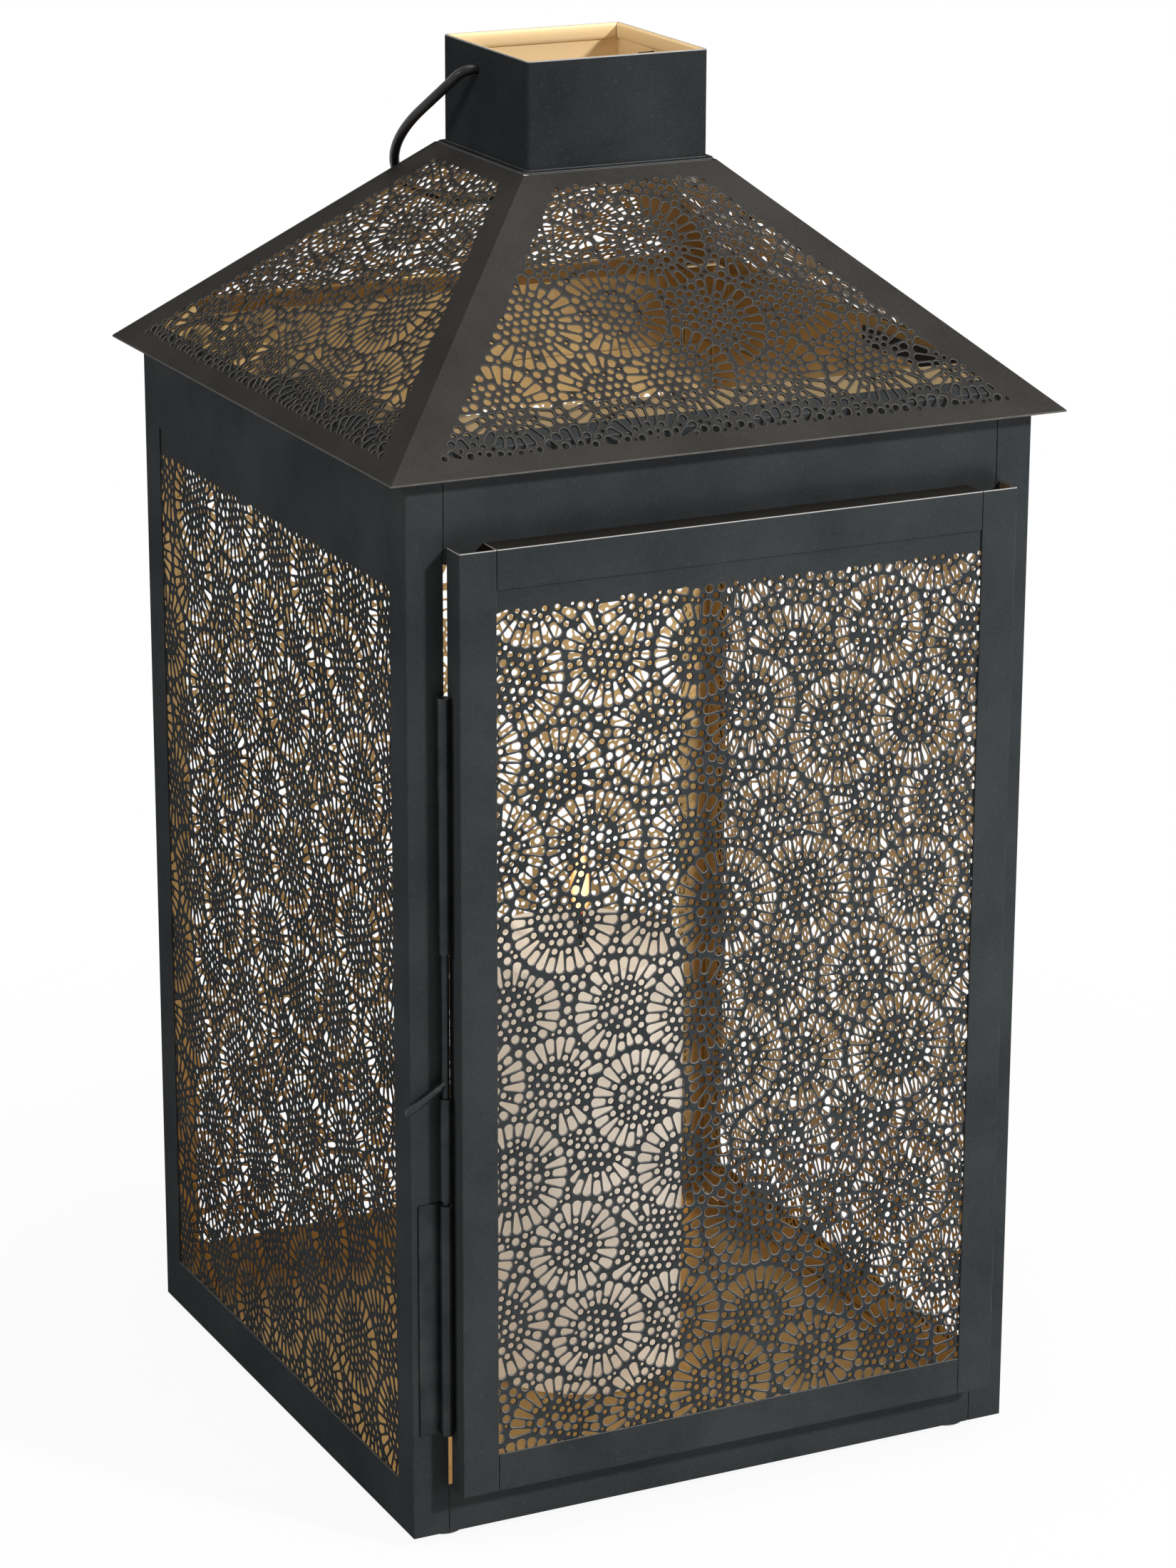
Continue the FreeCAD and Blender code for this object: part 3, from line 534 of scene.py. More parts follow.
# dots in whatever metal is left between the rosettes, the largest first: a dot may stand where
# points all round its rim and halfway in are free
def fillGaps(plan, seed):
    plan.claimed[:] = False
    step = piercing["grid"]
    for radius in piercing["fillDots"]:
        reach = radius + piercing["web"] / 2
        blocked = plan.taken.copy()
        for ring, count in ((reach, 20), (reach / 2, 8)):
            for k in range(count):
                across = int(round(ring * math.cos(math.tau * k / count) / step))
                up = int(round(ring * math.sin(math.tau * k / count) / step))
                blocked |= np.roll(plan.taken, (up, across), (0, 1))
        free = np.argwhere(~blocked)
        order = np.random.RandomState(seed).permutation(len(free))[: piercing["fillTries"]]
        cell = 2 * reach
        near = {}
        for row, column in free[order]:
            u, v = float(plan.u[row, column]), float(plan.v[row, column])
            key = int(u // cell), int(v // cell)
            around = [near.get((key[0] + a, key[1] + b), ()) for a in (-1, 0, 1) for b in (-1, 0, 1)]
            if all((u - p) ** 2 + (v - q) ** 2 > cell**2 for some in around for p, q in some):
                if plan.punch(dot((u, v), radius)):
                    near.setdefault(key, []).append((u, v))


def pierce(low, high, allowed, seed):
    dice = random.Random(seed)
    plan = Plan(low, high, allowed)
    for centre, radius in layRosettes(low, high, dice):
        punchRosette(plan, centre, radius, dice)
    fillGaps(plan, seed)
    return plan.holes


# a flat sheet with holes: place takes (u, v, height above the outer face) in mm to the object's metres,
# holes with at least beadFrom corners have a bead, and rimKind is the finish of the outer edge.
# The finishes are the outer face's, the lining's and the bead's, whose paler colour is partly a painted
# highlight
def buildSheet(name, rim, rimBehind, holes, place, thickness, beadFrom, rimKind, finishes):
    ease = piercing["ease"]
    loops = [list(rim)] + [hole(ease) for hole in holes]
    walls = [list(rimBehind)] + [hole() for hole in holes]
    thickness = min(thickness, piercing["sheet"])
    flat, edges, owner = [], [], []
    for index, loop in enumerate(loops):
        base = len(flat)
        flat += [Vector(point) for point in loop]
        owner += [index] * len(loop)
        edges += [(base + i, base + (i + 1) % len(loop)) for i in range(len(loop))]
    triangles = delaunay_2d_cdt(flat, edges, [], 0, 1e-7)[2]
    kept = [t for t in triangles if not owner[t[0]] == owner[t[1]] == owner[t[2]] or owner[t[0]] == 0]
    count = len(flat)
    points = [(p.x, p.y, 0.0) for p in flat]
    points += [(u, v, -thickness) for wall in walls for u, v in wall]
    faces = [tuple(t) for t in kept] + [tuple(count + i for i in reversed(t)) for t in kept]
    kinds = [0] * len(kept) + [1] * len(kept)
    base = 0
    for index, (loop, wall) in enumerate(zip(loops, walls)):
        size = len(loop)
        upper = [base + i for i in range(size)]
        lower = [count + base + i for i in range(size)]
        steps = [(upper, lower, 0 if index else rimKind)]
        if index and size >= beadFrom:
            middle = [len(points) + i for i in range(size)]
            points += [(u, v, -ease) for u, v in wall]
            steps = [(upper, middle, 2), (middle, lower, 0)]
        for top, bottom, kind in steps:
            for i in range(size):
                j = (i + 1) % size
                quad = (top[i], top[j], bottom[j], bottom[i])
                faces.append(quad[::-1] if index == 0 else quad)
                kinds.append(kind)
        base += size
    mesh = bpy.data.meshes.new(name)
    mesh.from_pydata([place @ Vector(point) for point in points], [], faces)
    mesh.polygons.foreach_set("material_index", kinds)
    for finish in finishes:
        mesh.materials.append(finish)
    piece = bpy.data.objects.new(name, mesh)
    scene.collection.objects.link(piece)
    print(name, len(holes), "holes,", sum(len(f.vertices) - 2 for f in mesh.polygons), "triangles")
    return piece


# turns sheet millimetres into metres: across and out are directions, corner is where (0, 0, 0) lies
def placing(across, up, out, corner):
    columns = Matrix((across, up, out)).transposed().to_4x4()
    return Matrix.Translation(corner) @ columns @ Matrix.Scale(mm, 4)


def boxInMm(node):
    low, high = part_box(node)
    return low / mm, high / mm


# which way each side faces, and the way its sheet runs from left to right seen from outside
sides = {
    "front": (Vector((0, -1, 0)), Vector((1, 0, 0))),
    "right": (Vector((1, 0, 0)), Vector((0, 1, 0))),
    "rear": (Vector((0, 1, 0)), Vector((-1, 0, 0))),
    "left": (Vector((-1, 0, 0)), Vector((0, -1, 0))),
}
upwards = Vector((0, 0, 1))
borders = {
    "under": 4.0,          # how far the pattern goes on under the frame
    "sideTop": 9.0,        # plain band below a top rail
    "doorTop": 6.5,        # plain band below the door's top rail
    "roofHip": 10.5,
    "roofEave": 6.0,
    "roofTop": 5.0,
}


# an upright sheet, pierced from floor to ceiling and to reach on either side of its middle
def uprightSheet(name, half, tall, reach, floor, ceiling, place, thickness, beadFrom, seed):
    def allowed(u, v):
        return (abs(u) < reach) & (v > floor) & (v < ceiling)

    holes = pierce((-reach - 1, floor - 1), (reach + 1, ceiling + 1), allowed, seed)
    rim = [(-half, 0), (half, 0), (half, tall), (-half, tall)]
    finishes = lacquerFinish, liningFinish, beadHighlightFinish
    return buildSheet(name, rim, rim, holes, place, thickness, beadFrom, 0, finishes)


def sidePanel(side, seed):
    node = "side_panel_" + side
    low, high = boxInMm(node)
    out, across = sides[side]
    face = [high[k] if out[k] > 0 else low[k] for k in range(3)]
    thickness = abs((high - low).dot(out))
    half = abs((high - low).dot(across)) / 2
    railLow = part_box("top_rail_" + side)[0].z / mm
    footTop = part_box("bottom_rail_" + side)[1].z / mm
    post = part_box("corner_post_front_left")
    leg = (post[1].x - post[0].x) / mm
    reach = abs(bodyLow.x) / mm - leg + borders["under"]
    floor, ceiling = footTop - borders["under"] - low.z, railLow - borders["sideTop"] - low.z
    corner = out * abs(face[0] * out[0] + face[1] * out[1]) + Vector((0, 0, low.z))
    place = placing(across, upwards, out, corner * mm)
    extent = half, high.z - low.z, reach, floor, ceiling
    piece = uprightSheet(node + "_pierced", *extent, place, thickness, piercing["sideBead"], seed)
    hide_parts(node)
    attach(piece, "lantern")


def doorSheet(seed):
    low, high = boxInMm("door_panel")
    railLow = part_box("door_rail_top")[0].z / mm
    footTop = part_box("door_rail_bottom")[1].z / mm
    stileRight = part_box("door_stile_left")[1].x / mm
    middle = (low.x + high.x) / 2
    half = (high.x - low.x) / 2
    reach = middle - stileRight + borders["under"]
    floor, ceiling = footTop - borders["under"] - low.z, railLow - borders["doorTop"] - low.z
    out, across = sides["front"]
    place = placing(across, upwards, out, Vector((middle, low.y, low.z)) * mm)
    extent = half, high.z - low.z, reach, floor, ceiling
    thickness = high.y - low.y
    piece = uprightSheet("door_panel_pierced", *extent, place, thickness, piercing["doorBead"], seed)
    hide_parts("door_panel")
    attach(piece, "door")


def roofSlope(side, seed):
    node = "roof_panel_" + side
    low, high = boxInMm(node)
    out, across = sides[side]
    eave = max(abs(low.dot(out)), abs(high.dot(out)))
    halfEave = abs(high.dot(across))
    top = boxInMm("chimney_collar")[1].x
    level = eave - top
    panel = boxInMm("side_panel_left")
    cadSheet = panel[1].x - panel[0].x
    rise = tall = high.z - low.z
    for _ in range(4):       # the sheet's upright thickness needs the slope, and the slope needs it
        rise = tall - cadSheet * math.hypot(1, rise / level)
    drop = (tall - rise) * piercing["sheet"] / cadSheet
    length = math.hypot(level, rise)
    narrowing = (halfEave - top) / length
    edge = borders["roofHip"] * math.hypot(1, narrowing)

    def allowed(u, v):
        inside = abs(u) < halfEave - v * narrowing - edge
        return inside & (v > borders["roofEave"]) & (v < length - borders["roofTop"])

    holes = pierce((-halfEave, -1), (halfEave, length + 1), allowed, seed)
    slope = (Vector((0, 0, rise)) - out * level).normalized()
    normal = across.cross(slope)
    place = placing(across, slope, normal, (out * eave + Vector((0, 0, high.z - rise))) * mm)
    rim = [(-halfEave, 0), (halfEave, 0), (top, length), (-top, length)]
    behind = place.inverted()
    under = [behind @ (place @ Vector((u, v, 0)) + Vector((0, 0, -drop * mm))) for u, v in rim]
    thickness = -under[0].z
    rimBehind = [(p.x, p.y) for p in under]
    shape = rim, rimBehind, holes, place, thickness, piercing["roofBeadHighlight"]
    piece = buildSheet(node + "_pierced", *shape, 2, (roofLitFinish, liningFinish, roofBeadHighlightFinish))
    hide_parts(node)
    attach(piece, "lantern")


# another seed gives another pattern
for side, seed in (("left", 21), ("right", 22), ("rear", 23)):
    sidePanel(side, seed)
doorSheet(24)
for side, seed in (("front", 31), ("left", 32), ("right", 33), ("rear", 34)):
    roofSlope(side, seed)

collarLook = {
    "corner": 1.1,         # mm radius of the outer corners
    "wall": 0.7,
    "foot": 2.5,           # mm that the foot stands out
    "lip": 0.45,
    "hem": 5.4,            # mm that the sheet is folded down inside
    "hemThickness": 2.1,
    "bailHole": 3.8,
    "bend": 35,            # degrees: edges bent less than this look smooth
    "gold": (0.88, 0.68, 0.40),
    "golden": 0.9,         # how much of that covers the lining's own gold
    "shine": 0.25,         # how metallic it is
    "mitre": (0.22, 0.8),  # mm width of the painted highlight along the foot's edges, and how strong it is
    "worn": (0.5, 0.7),    # mm width of the worn edges, and how much they show
    "rim": 0.7,            # how strong the painted highlight along the top is
    "footHighlight": (0.3, 0.3),    # the same at the foot
}


# what was built in a bmesh, as an object
def asObject(name, mesh):
    data = bpy.data.meshes.new(name)
    mesh.to_mesh(data)
    mesh.free()
    piece = bpy.data.objects.new(name, data)
    scene.collection.objects.link(piece)
    return piece


# a skin over rings of points, joined into a loop or else capped at both ends
def skinRings(name, rings, joined=False):
    mesh = bmesh.new()
    rings = [[mesh.verts.new(point) for point in ring] for ring in rings]
    size = len(rings[0])
    for lower, upper in zip(rings, rings[1:] + rings[:1] * joined):
        for i in range(size):
            j = (i + 1) % size
            mesh.faces.new((lower[i], lower[j], upper[j], upper[i]))
    if not joined:
        mesh.faces.new(list(reversed(rings[0])))
        mesh.faces.new(rings[-1])
    bmesh.ops.recalc_face_normals(mesh, faces=mesh.faces)
    piece = asObject(name, mesh)
    for face in piece.data.polygons:
        face.use_smooth = len(face.vertices) == 4
    return piece


# a section of (distance from the axis, height) swept round a square with rounded corners
def sweepSquare(name, section, outer):
    rings = []
    for across, height in section:
        radius = max(0.25, collarLook["corner"] - (outer - across))
        ring = []
        for quarter in range(4):
            turn = quarter * math.pi / 2
            for step in range(7):
                angle = turn + step / 6 * math.pi / 2
                corner = Vector((across - radius, across - radius))
                corner.rotate(Matrix.Rotation(turn, 2))
                spot = corner + radius * Vector((math.cos(angle), math.sin(angle)))
                ring.append((spot.x * mm, spot.y * mm, height * mm))
        rings.append(ring)
    return skinRings(name, rings, True)


# the joint's axis, in millimetres
def pivotOf(name):
    return Vector(next(joint["pos_m"] for joint in frame["joints"] if joint["name"] == name)) / mm


# a mesh as its modifiers leave it
def settle(piece):
    seen = bpy.context.evaluated_depsgraph_get()
    piece.data = bpy.data.meshes.new_from_object(piece.evaluated_get(seen))
    piece.modifiers.clear()


# smooth, but for edges bent by the angle or more
def smoothBends(piece, angle):
    for face in piece.data.polygons:
        face.use_smooth = True
    whole = bmesh.new()
    whole.from_mesh(piece.data)
    for edge in whole.edges:
        edge.smooth = len(edge.link_faces) == 2 and edge.calc_face_angle() < math.radians(angle)
    whole.to_mesh(piece.data)
    whole.free()


def makeCollar():
    low, high = boxInMm("chimney_collar")
    foot = high.x
    outer = foot - collarLook["foot"]
    wall, lip, hem = collarLook["wall"], collarLook["lip"], collarLook["hem"]
    inner = outer - wall
    fold = outer - collarLook["hemThickness"]
    top, bottom = high.z, low.z
    section = [
        (inner, bottom),
        (foot, bottom),                           # the foot
        (foot, bottom + wall * 0.8),
        (outer + 0.5, bottom + wall),
        (outer + 0.12, bottom + wall + 0.15),
        (outer, bottom + wall + 0.5),             # the wall
        (outer, top - lip),
        (outer - 0.13, top - 0.13),
        (outer - lip, top),
        (outer - lip - 0.2, top - 0.1),           # the groove between the wall and the hem
        (outer - lip - 0.35, top - 0.4),
        (outer - lip - 0.55, top - 0.12),
        (outer - lip - 0.9, top - 0.1),
        (fold + 0.12, top - 0.7),                 # the hem
        (fold, top - 1.6),
        (fold, top - hem + 1.2),
        (fold + 0.15, top - hem + 0.5),
        (fold + 0.6, top - hem),
        (inner - 0.25, top - hem),
        (inner - 0.05, top - hem + 0.3),
        (inner, top - hem - 0.1),
    ]
    piece = sweepSquare("chimney_collar_folded", section, outer)
    pivot = pivotOf("bail_hinge")
    drill = bmesh.new()
    turned = Matrix.Translation((0, pivot.y * mm, pivot.z * mm)) @ Matrix.Rotation(math.pi / 2, 4, "Y")
    radius = collarLook["bailHole"] / 2 * mm
    bmesh.ops.create_cone(
        drill, cap_ends=True, segments=32, radius1=radius, radius2=radius, depth=0.1, matrix=turned
    )
    tool = asObject("collarDrill", drill)
    cut = piece.modifiers.new("bailHoles", "BOOLEAN")
    cut.operation, cut.object, cut.solver = "DIFFERENCE", tool, "EXACT"
    settle(piece)
    bpy.data.objects.remove(tool)
    smoothBends(piece, collarLook["bend"])
    piece.data.materials.clear()
    piece.data.materials.append(makeCollarFinish(inner + 0.04, top - hem - 0.3, bottom + wall + 0.2))
    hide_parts("chimney_collar")
    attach(piece, "lantern")


# lacquer outside, gold inside the fold, a dark mitre line across the hem in each corner, and painted
# highlights along the top and the foot
def makeCollarFinish(reach, hemLow, footTop):
    finish = Finish(bpy.data.materials.new("collarSheet"))
    dark, darkRough, fine = lacquerParts(finish, fittingLook["dark"], fittingLook["pale"])
    gold, goldRough, _ = liningParts(finish)
    x, y, z = finish.split()
    inside = (abs(x) < reach) * (abs(y) < reach)
    half, darkness = collarLook["mitre"]
    mitre = (abs(abs(x) - abs(y)) < half) * (z > hemLow) * inside
    gold = finish.mix(collarLook["golden"], gold, collarLook["gold"])
    width, share = collarLook["worn"]
    dark = finish.mix(finish.edgeWearAndHighlight(width) * (1 - inside) * share, dark, lacquer["worn"])
    # painted highlight along the collar's top
    rim = z > hemLow + collarLook["hem"] - 0.1
    dark = finish.mix(rim * collarLook["rim"], dark, lacquer["highlight"])
    # painted highlight: a bright line along the foot's edges
    width, share = collarLook["footHighlight"]
    dark = finish.mix((z < footTop) * finish.edgeWearAndHighlight(width) * share, dark, lacquer["highlight"])
    colour = finish.mix(inside, dark, gold)
    colour = finish.mix(mitre * darkness, colour, lacquer["dark"])
    varied = {
        "Base Color": colour,
        "Roughness": goldRough * inside + darkRough * (1 - inside),
        "Metallic": inside * (collarLook["shine"] - lacquer["metal"]) + lacquer["metal"],
        "Normal": finish.bump(fine, 0.03),
    }
    return finish.surface(paint, varied)


makeCollar()
print("chimney collar made")

candleLook = {
    "wax": (0.84, 0.80, 0.73),
    "warm": (0.88, 0.74, 0.56),
    "pool": 2.4,           # mm that the top is melted
    "rim": 2.2,
    "wobble": 0.18,        # mm of unevenness in the sides
    "steps": 96,           # round the candle
    # the wax glows: painted light for what reaches the candle through the door and the flame's light in the
    # wax, strongest near the top
    "lit": (2, 70),        # mm below the top between which the glow fades
    "glow": (1.0, 0.9, 0.76),
    "dim": (0.8, 0.75, 0.68),
    "strength": 0.2,
    "rough": (0.38, 0.53),
}
wickLook = {
    "char": (0.012, 0.010, 0.009),
    "ash": (0.06, 0.05, 0.042),
    "ember": (1.0, 0.2, 0.03),
    "strength": 2.0,
    "tip": (3.2, 0.4),     # mm below the end over which it begins to glow
    "rough": (0.75, 0.95),
}
flameLook = {
    "height": 27.0,
    "radius": 3.9,
    "sink": 2.5,           # mm that it starts below the wick's end
    "lean": (0.3, 0.1),    # mm off the candle's middle
    "steps": 40,
    "core": (1.0, 0.8, 0.45),
    "edge": (1.0, 0.3, 0.04),
    "strength": 1.6,
    "faint": 0.1,          # how solid its foot is, and the rest
    "solid": 0.95,
}


# half a section of (radius, height) turned about a vertical axis, evenly smooth
def turnSection(name, section, centre, steps, wobble=0.0):
    rings = []
    for radius, height in section:
        ring = []
        for step in range(steps):
            angle = math.tau * step / steps
            way = Vector((math.cos(angle), math.sin(angle), 0))
            uneven = noise.noise(Vector((way.x * 1.3, way.y * 1.3, height * 0.02))) * wobble
            spot = centre + way * max(0.0, radius + uneven * min(1, radius / 10)) + Vector((0, 0, height))
            ring.append(spot * mm)
        rings.append(ring)
    return skinRings(name, rings)


# a round bar along points, its radius given at each
def bar(name, points, radii, steps=12):
    rings = []
    for index, point in enumerate(points):
        ahead = points[min(index + 1, len(points) - 1)] - points[max(index - 1, 0)]
        turn = ahead.to_track_quat("Z", "Y")
        ring = []
        for step in range(steps):
            angle = math.tau * step / steps
            way = turn @ Vector((math.cos(angle), math.sin(angle), 0))
            ring.append((point + way * radii[index]) * mm)
        rings.append(ring)
    return skinRings(name, rings)


def makeWax(top):
    finish = Finish(bpy.data.materials.new("candleWax"))
    z = finish.split()[2]
    cloudy = finish.cloud(22, detail=4)
    fine = finish.cloud(2.2, detail=3, seed=4.0)
    full, ended = candleLook["lit"]
    glow = finish.ramp(z, top - ended, top - full)
    # the base colour turns warmer towards the top with the painted glow, besides its random warmth
    warmth = finish.ramp(cloudy, 0.3, 0.7) * 0.2 + glow * 0.1
    low, high = candleLook["rough"]
    varied = {
        "Base Color": finish.mix(warmth, candleLook["wax"], candleLook["warm"]),
        "Roughness": finish.ramp(fine, 0.3, 0.7) * (high - low) + low,
        "Emission Color": finish.mix(glow, candleLook["dim"], candleLook["glow"]),
        "Normal": finish.bump(cloudy * 0.6 + fine * 0.4, 0.25),
    }
    fixed = {"Specular IOR Level": 0.35, "Emission Strength": candleLook["strength"]}
    return finish.surface(fixed, varied)


def makeCandle():
    low, high = boxInMm("candle")
    centre = Vector(((low.x + high.x) / 2, (low.y + high.y) / 2, 0))
    radius = (high.x - low.x) / 2 - candleLook["wobble"] - 0.05
    rim, pool = candleLook["rim"], candleLook["pool"]
    bottom, top = low.z, high.z
    section = [(radius - 1.2, bottom), (radius - 0.4, bottom + 0.3), (radius, bottom + 1.3)]
    section += [(radius, bottom + (top - bottom) * share / 12) for share in range(1, 12)]
    section += [
        (radius, top - rim * 1.3),
        (radius - 0.15, top - rim * 0.7),
        (radius - rim * 0.35, top - rim * 0.22),
        (radius - rim * 0.8, top - 0.05),
        (radius - rim * 1.3, top),
        (radius - rim * 1.9, top - 0.3),
        (radius - rim * 2.8, top - pool * 0.75),
        (radius * 0.75, top - pool),
        (radius * 0.45, top - pool * 1.02),
        (radius * 0.12, top - pool * 0.9),
        (1.5, top - pool * 0.75),
        (0.2, top - pool * 0.7),
    ]
    piece = turnSection("candle_body", section, centre, candleLook["steps"], candleLook["wobble"])
    piece.data.materials.append(makeWax(top))
    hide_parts("candle")
    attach(piece, "candle")
    return centre, top


def makeWick(centre, top):
    end = boxInMm("wick")[1].z
    tall = end - top - 0.35
    shape = [(0, 0, -3.2), (0.05, 0, -1.0), (0.1, 0.05, tall * 0.2), (0.2, 0.1, tall * 0.45)]
    shape += [(0.45, 0.15, tall * 0.7), (0.6, 0.2, tall * 0.9), (0.5, 0.2, tall)]
    points = [centre + Vector(spot) + Vector((0, 0, top)) for spot in shape]
    piece = bar("wick_charred", points, [0.85, 0.85, 0.82, 0.8, 0.76, 0.7, 0.45])
    finish = Finish(bpy.data.materials.new("charredWick"))
    z = finish.split()[2]
    braid = finish.cloud(0.8, detail=2, stretch=(1, 1, 2))
    begins, full = wickLook["tip"]
    ember = finish.ramp(z, end - begins, end - full) * finish.ramp(braid, 0.35, 0.6)
    low, high = wickLook["rough"]
    varied = {
        "Base Color": finish.mix(braid, wickLook["char"], wickLook["ash"]),
        "Emission Color": finish.mix(ember, (0, 0, 0), wickLook["ember"]),
        "Roughness": finish.ramp(braid, 0.2, 0.8) * (high - low) + low,
        "Normal": finish.bump(braid, 0.3),
    }
    fixed = {"Emission Strength": wickLook["strength"], "Specular IOR Level": 0.2}
    piece.data.materials.append(finish.surface(fixed, varied))
    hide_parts("wick")
    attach(piece, "candle")


def makeFlame(centre):
    tall, wide = flameLook["height"], flameLook["radius"]
    outline = [(0.02, 0.0), (0.35, 0.02), (0.66, 0.09), (0.88, 0.18), (1.0, 0.3), (0.97, 0.42)]
    outline += [(0.84, 0.55), (0.65, 0.67), (0.44, 0.78), (0.25, 0.88), (0.1, 0.95), (0.01, 1.0)]
    low = boxInMm("wick")[1].z - flameLook["sink"]
    section = [(share * wide, low + height * tall) for share, height in outline]
    piece = turnSection("flame", section, centre + Vector((*flameLook["lean"], 0)), flameLook["steps"])
    softer = piece.modifiers.new("round", "SUBSURF")
    softer.levels = softer.render_levels = 1
    settle(piece)
    finish = Finish(bpy.data.materials.new("candleFlame"))
    z = finish.split()[2]
    facing = finish.out(finish.node("LayerWeight", {}, {"Blend": 0.35}), "Facing")
    height = finish.ramp(z, low, low + tall)
    edge = finish.ramp(facing + height * 0.15, 0.12, 0.55)
    colour = finish.mix(edge, flameLook["core"], flameLook["edge"])
    faint, solid = flameLook["faint"], flameLook["solid"]
    varied = {"Emission Color": colour, "Alpha": finish.ramp(height, 0.0, 0.2) * (solid - faint) + faint}
    fixed = {"Base Color": (0, 0, 0, 1), "Specular IOR Level": 0.0, "Roughness": 1.0}
    fixed["Emission Strength"] = flameLook["strength"]
    piece.data.materials.append(finish.surface(fixed, varied))
    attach(piece, "candle")


candleCentre, candleTop = makeCandle()
makeWick(candleCentre, candleTop)
makeFlame(candleCentre)
print("candle, wick and flame made")

softEdges = {
    "sheet": 0.16,         # mm eased off the edges of folded sheet
    "round": 0.12,         # and of round stock
    "bend": 40,            # degrees: edges bent less than this stay as they are
}
# the start of a node's name, its finish, and how its edges are eased
dressing = [
    ("corner_post", bodyFinish, "sheet"),
    ("top_rail", bodyFinish, "sheet"),
    ("bottom_rail", bodyFinish, "sheet"),
    ("base_plate", bodyFinish, "sheet"),
    ("door_stile", doorFinish, "sheet"),
    ("door_rail", doorFinish, "sheet"),
    ("foot", wireFinish, "round"),
    ("hinge", fittingFinish, "round"),
    ("bolt", fittingFinish, "round"),
    ("bail", wireFinish, None),
    ("roof_stud", wireFinish, "round"),
]
for name, node in frame["nodes"].items():
    for start, finish, edge in dressing:
        if name.startswith(start):
            node.data.materials.clear()
            node.data.materials.append(finish)
            if edge:
                weld = node.modifiers.new("weld", "WELD")
                weld.merge_threshold = 1e-6
                eased = node.modifiers.new("easedEdges", "BEVEL")
                eased.limit_method = "ANGLE"
                eased.angle_limit = math.radians(softEdges["bend"])
                eased.width = softEdges[edge] * mm
                eased.segments = 2
print("CAD pieces finished")

studio = {
    "sky": 0.08,           # what the surroundings give to matt surfaces
    "floor": (0.80, 0.80, 0.80),
    "reach": 6.0,          # metres from the lantern to the floor's edge
    "below": 0.0004,       # metres from the feet down to the floor
    "bare": (0.93, 1.0),   # how white the floor stays by itself, under the lantern and away from it
    "fade": (0.16, 0.5),   # metres from the lantern's middle over which that changes
    "aim": (0, 0, 0.22),   # where the lamps point
}
lamps = {
    "keyLamp": {"place": (1.19, -1.91, 1.52), "power": 58.0, "width": 0.2, "colour": (1.0, 0.98, 0.96)},
    "sideLamp": {"place": (0.45, -0.55, 0.04), "power": 1.7, "width": 0.25, "colour": (1.0, 0.99, 0.98)},
    "leftLamp": {"place": (-1.0, -0.12, 0.75), "power": 4.5, "width": 0.4, "colour": (1.0, 0.98, 0.95)},
    "topLamp": {"place": (0.1, -0.2, 2.2), "power": 26.0, "width": 1.2, "colour": (1.0, 0.91, 0.80)},
}
view = {
    "turn": -26.085,       # degrees
    "lift": 17.634,
    "roll": 0.186,
    "lens": 108.87,        # mm
    "away": 1.690,         # metres
    "aim": (0.00598, 0.0, 0.2227),
}


# seen straight, in a mirror or through glass
def plainRays(finish):
    path = finish.node("LightPath")
    seen = finish.out(path, "Is Camera Ray") + finish.out(path, "Is Glossy Ray")
    return finish.sum("MINIMUM", seen + finish.out(path, "Is Transmission Ray"), 1.0)


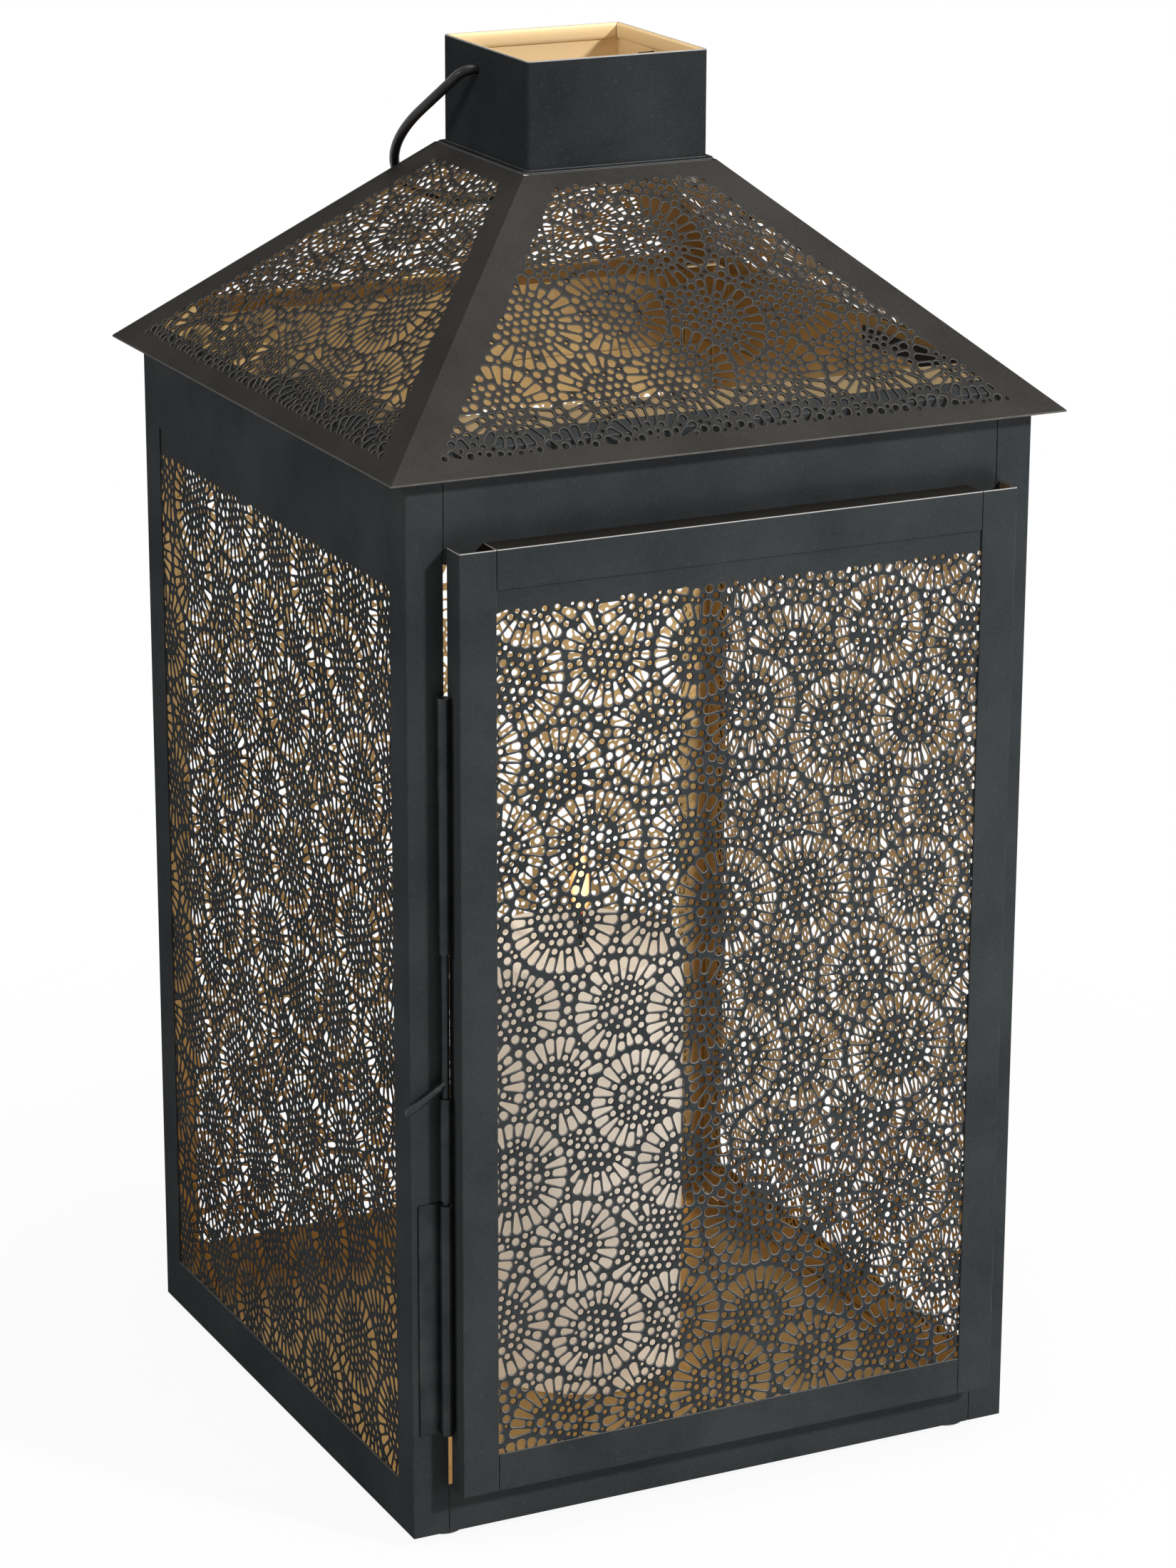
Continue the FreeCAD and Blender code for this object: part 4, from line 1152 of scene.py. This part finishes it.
def makeFloor():
    mesh = bmesh.new()
    bmesh.ops.create_grid(mesh, x_segments=1, y_segments=1, size=studio["reach"])
    floor = asObject("studioFloor", mesh)
    floor.location.z = -studio["below"]
    finish = Finish(bpy.data.materials.new("whiteFloor"))
    matt = finish.out(finish.node("BsdfDiffuse", {}, {"Color": (*studio["floor"], 1.0)}))
    glow = finish.out(finish.node("Emission", {}, {"Color": (1, 1, 1, 1), "Strength": 1.0}))
    away = finish.out(finish.node("VectorMath", {"operation": "LENGTH"}, {"Vector": finish.place}), "Value")
    near, far = studio["bare"]
    share = finish.ramp(away, *studio["fade"]) * (far - near) + near
    lifted = finish.node("MixShader", {}, {0: plainRays(finish) * share, 1: matt, 2: glow})
    finish.node("OutputMaterial", {}, {"Surface": finish.out(lifted)})
    floor.data.materials.append(finish.owner)


def makeSky():
    scene.world = bpy.data.worlds.new("studioWorld")
    sky = Finish(scene.world)
    strength = plainRays(sky) * (1 - studio["sky"]) + studio["sky"]
    light = sky.out(sky.node("Background", {}, {"Color": (1, 1, 1, 1), "Strength": strength}))
    sky.node("OutputWorld", {}, {"Surface": light})


def softLamp(name, place, power, width, colour):
    data = bpy.data.lights.new(name, "AREA")
    data.shape, data.size, data.energy, data.color = "SQUARE", width, power, colour
    lamp = bpy.data.objects.new(name, data)
    scene.collection.objects.link(lamp)
    lamp.location = place
    lamp.visible_camera = False
    lamp.rotation_euler = (Vector(studio["aim"]) - Vector(place)).to_track_quat("-Z", "Y").to_euler()


def makeCamera():
    turn, lift, roll = (math.radians(view[key]) for key in ("turn", "lift", "roll"))
    back = Vector((math.sin(turn) * math.cos(lift), -math.cos(turn) * math.cos(lift), math.sin(lift)))
    level = (-back).cross(upwards).normalized()
    upright = level.cross(-back)
    right = level * math.cos(roll) + upright * math.sin(roll)
    above = upright * math.cos(roll) - level * math.sin(roll)
    camera = bpy.data.objects.new("studioCamera", bpy.data.cameras.new("studioCamera"))
    scene.collection.objects.link(camera)
    camera.data.lens = view["lens"]
    spot = Vector(view["aim"]) + back * view["away"]
    camera.matrix_world = Matrix.Translation(spot) @ Matrix((right, above, back)).transposed().to_4x4()
    scene.camera = camera


makeFloor()
makeSky()
for name, look in lamps.items():
    softLamp(name, **look)
makeCamera()
scene.view_settings.view_transform = "Standard"
print("studio set")
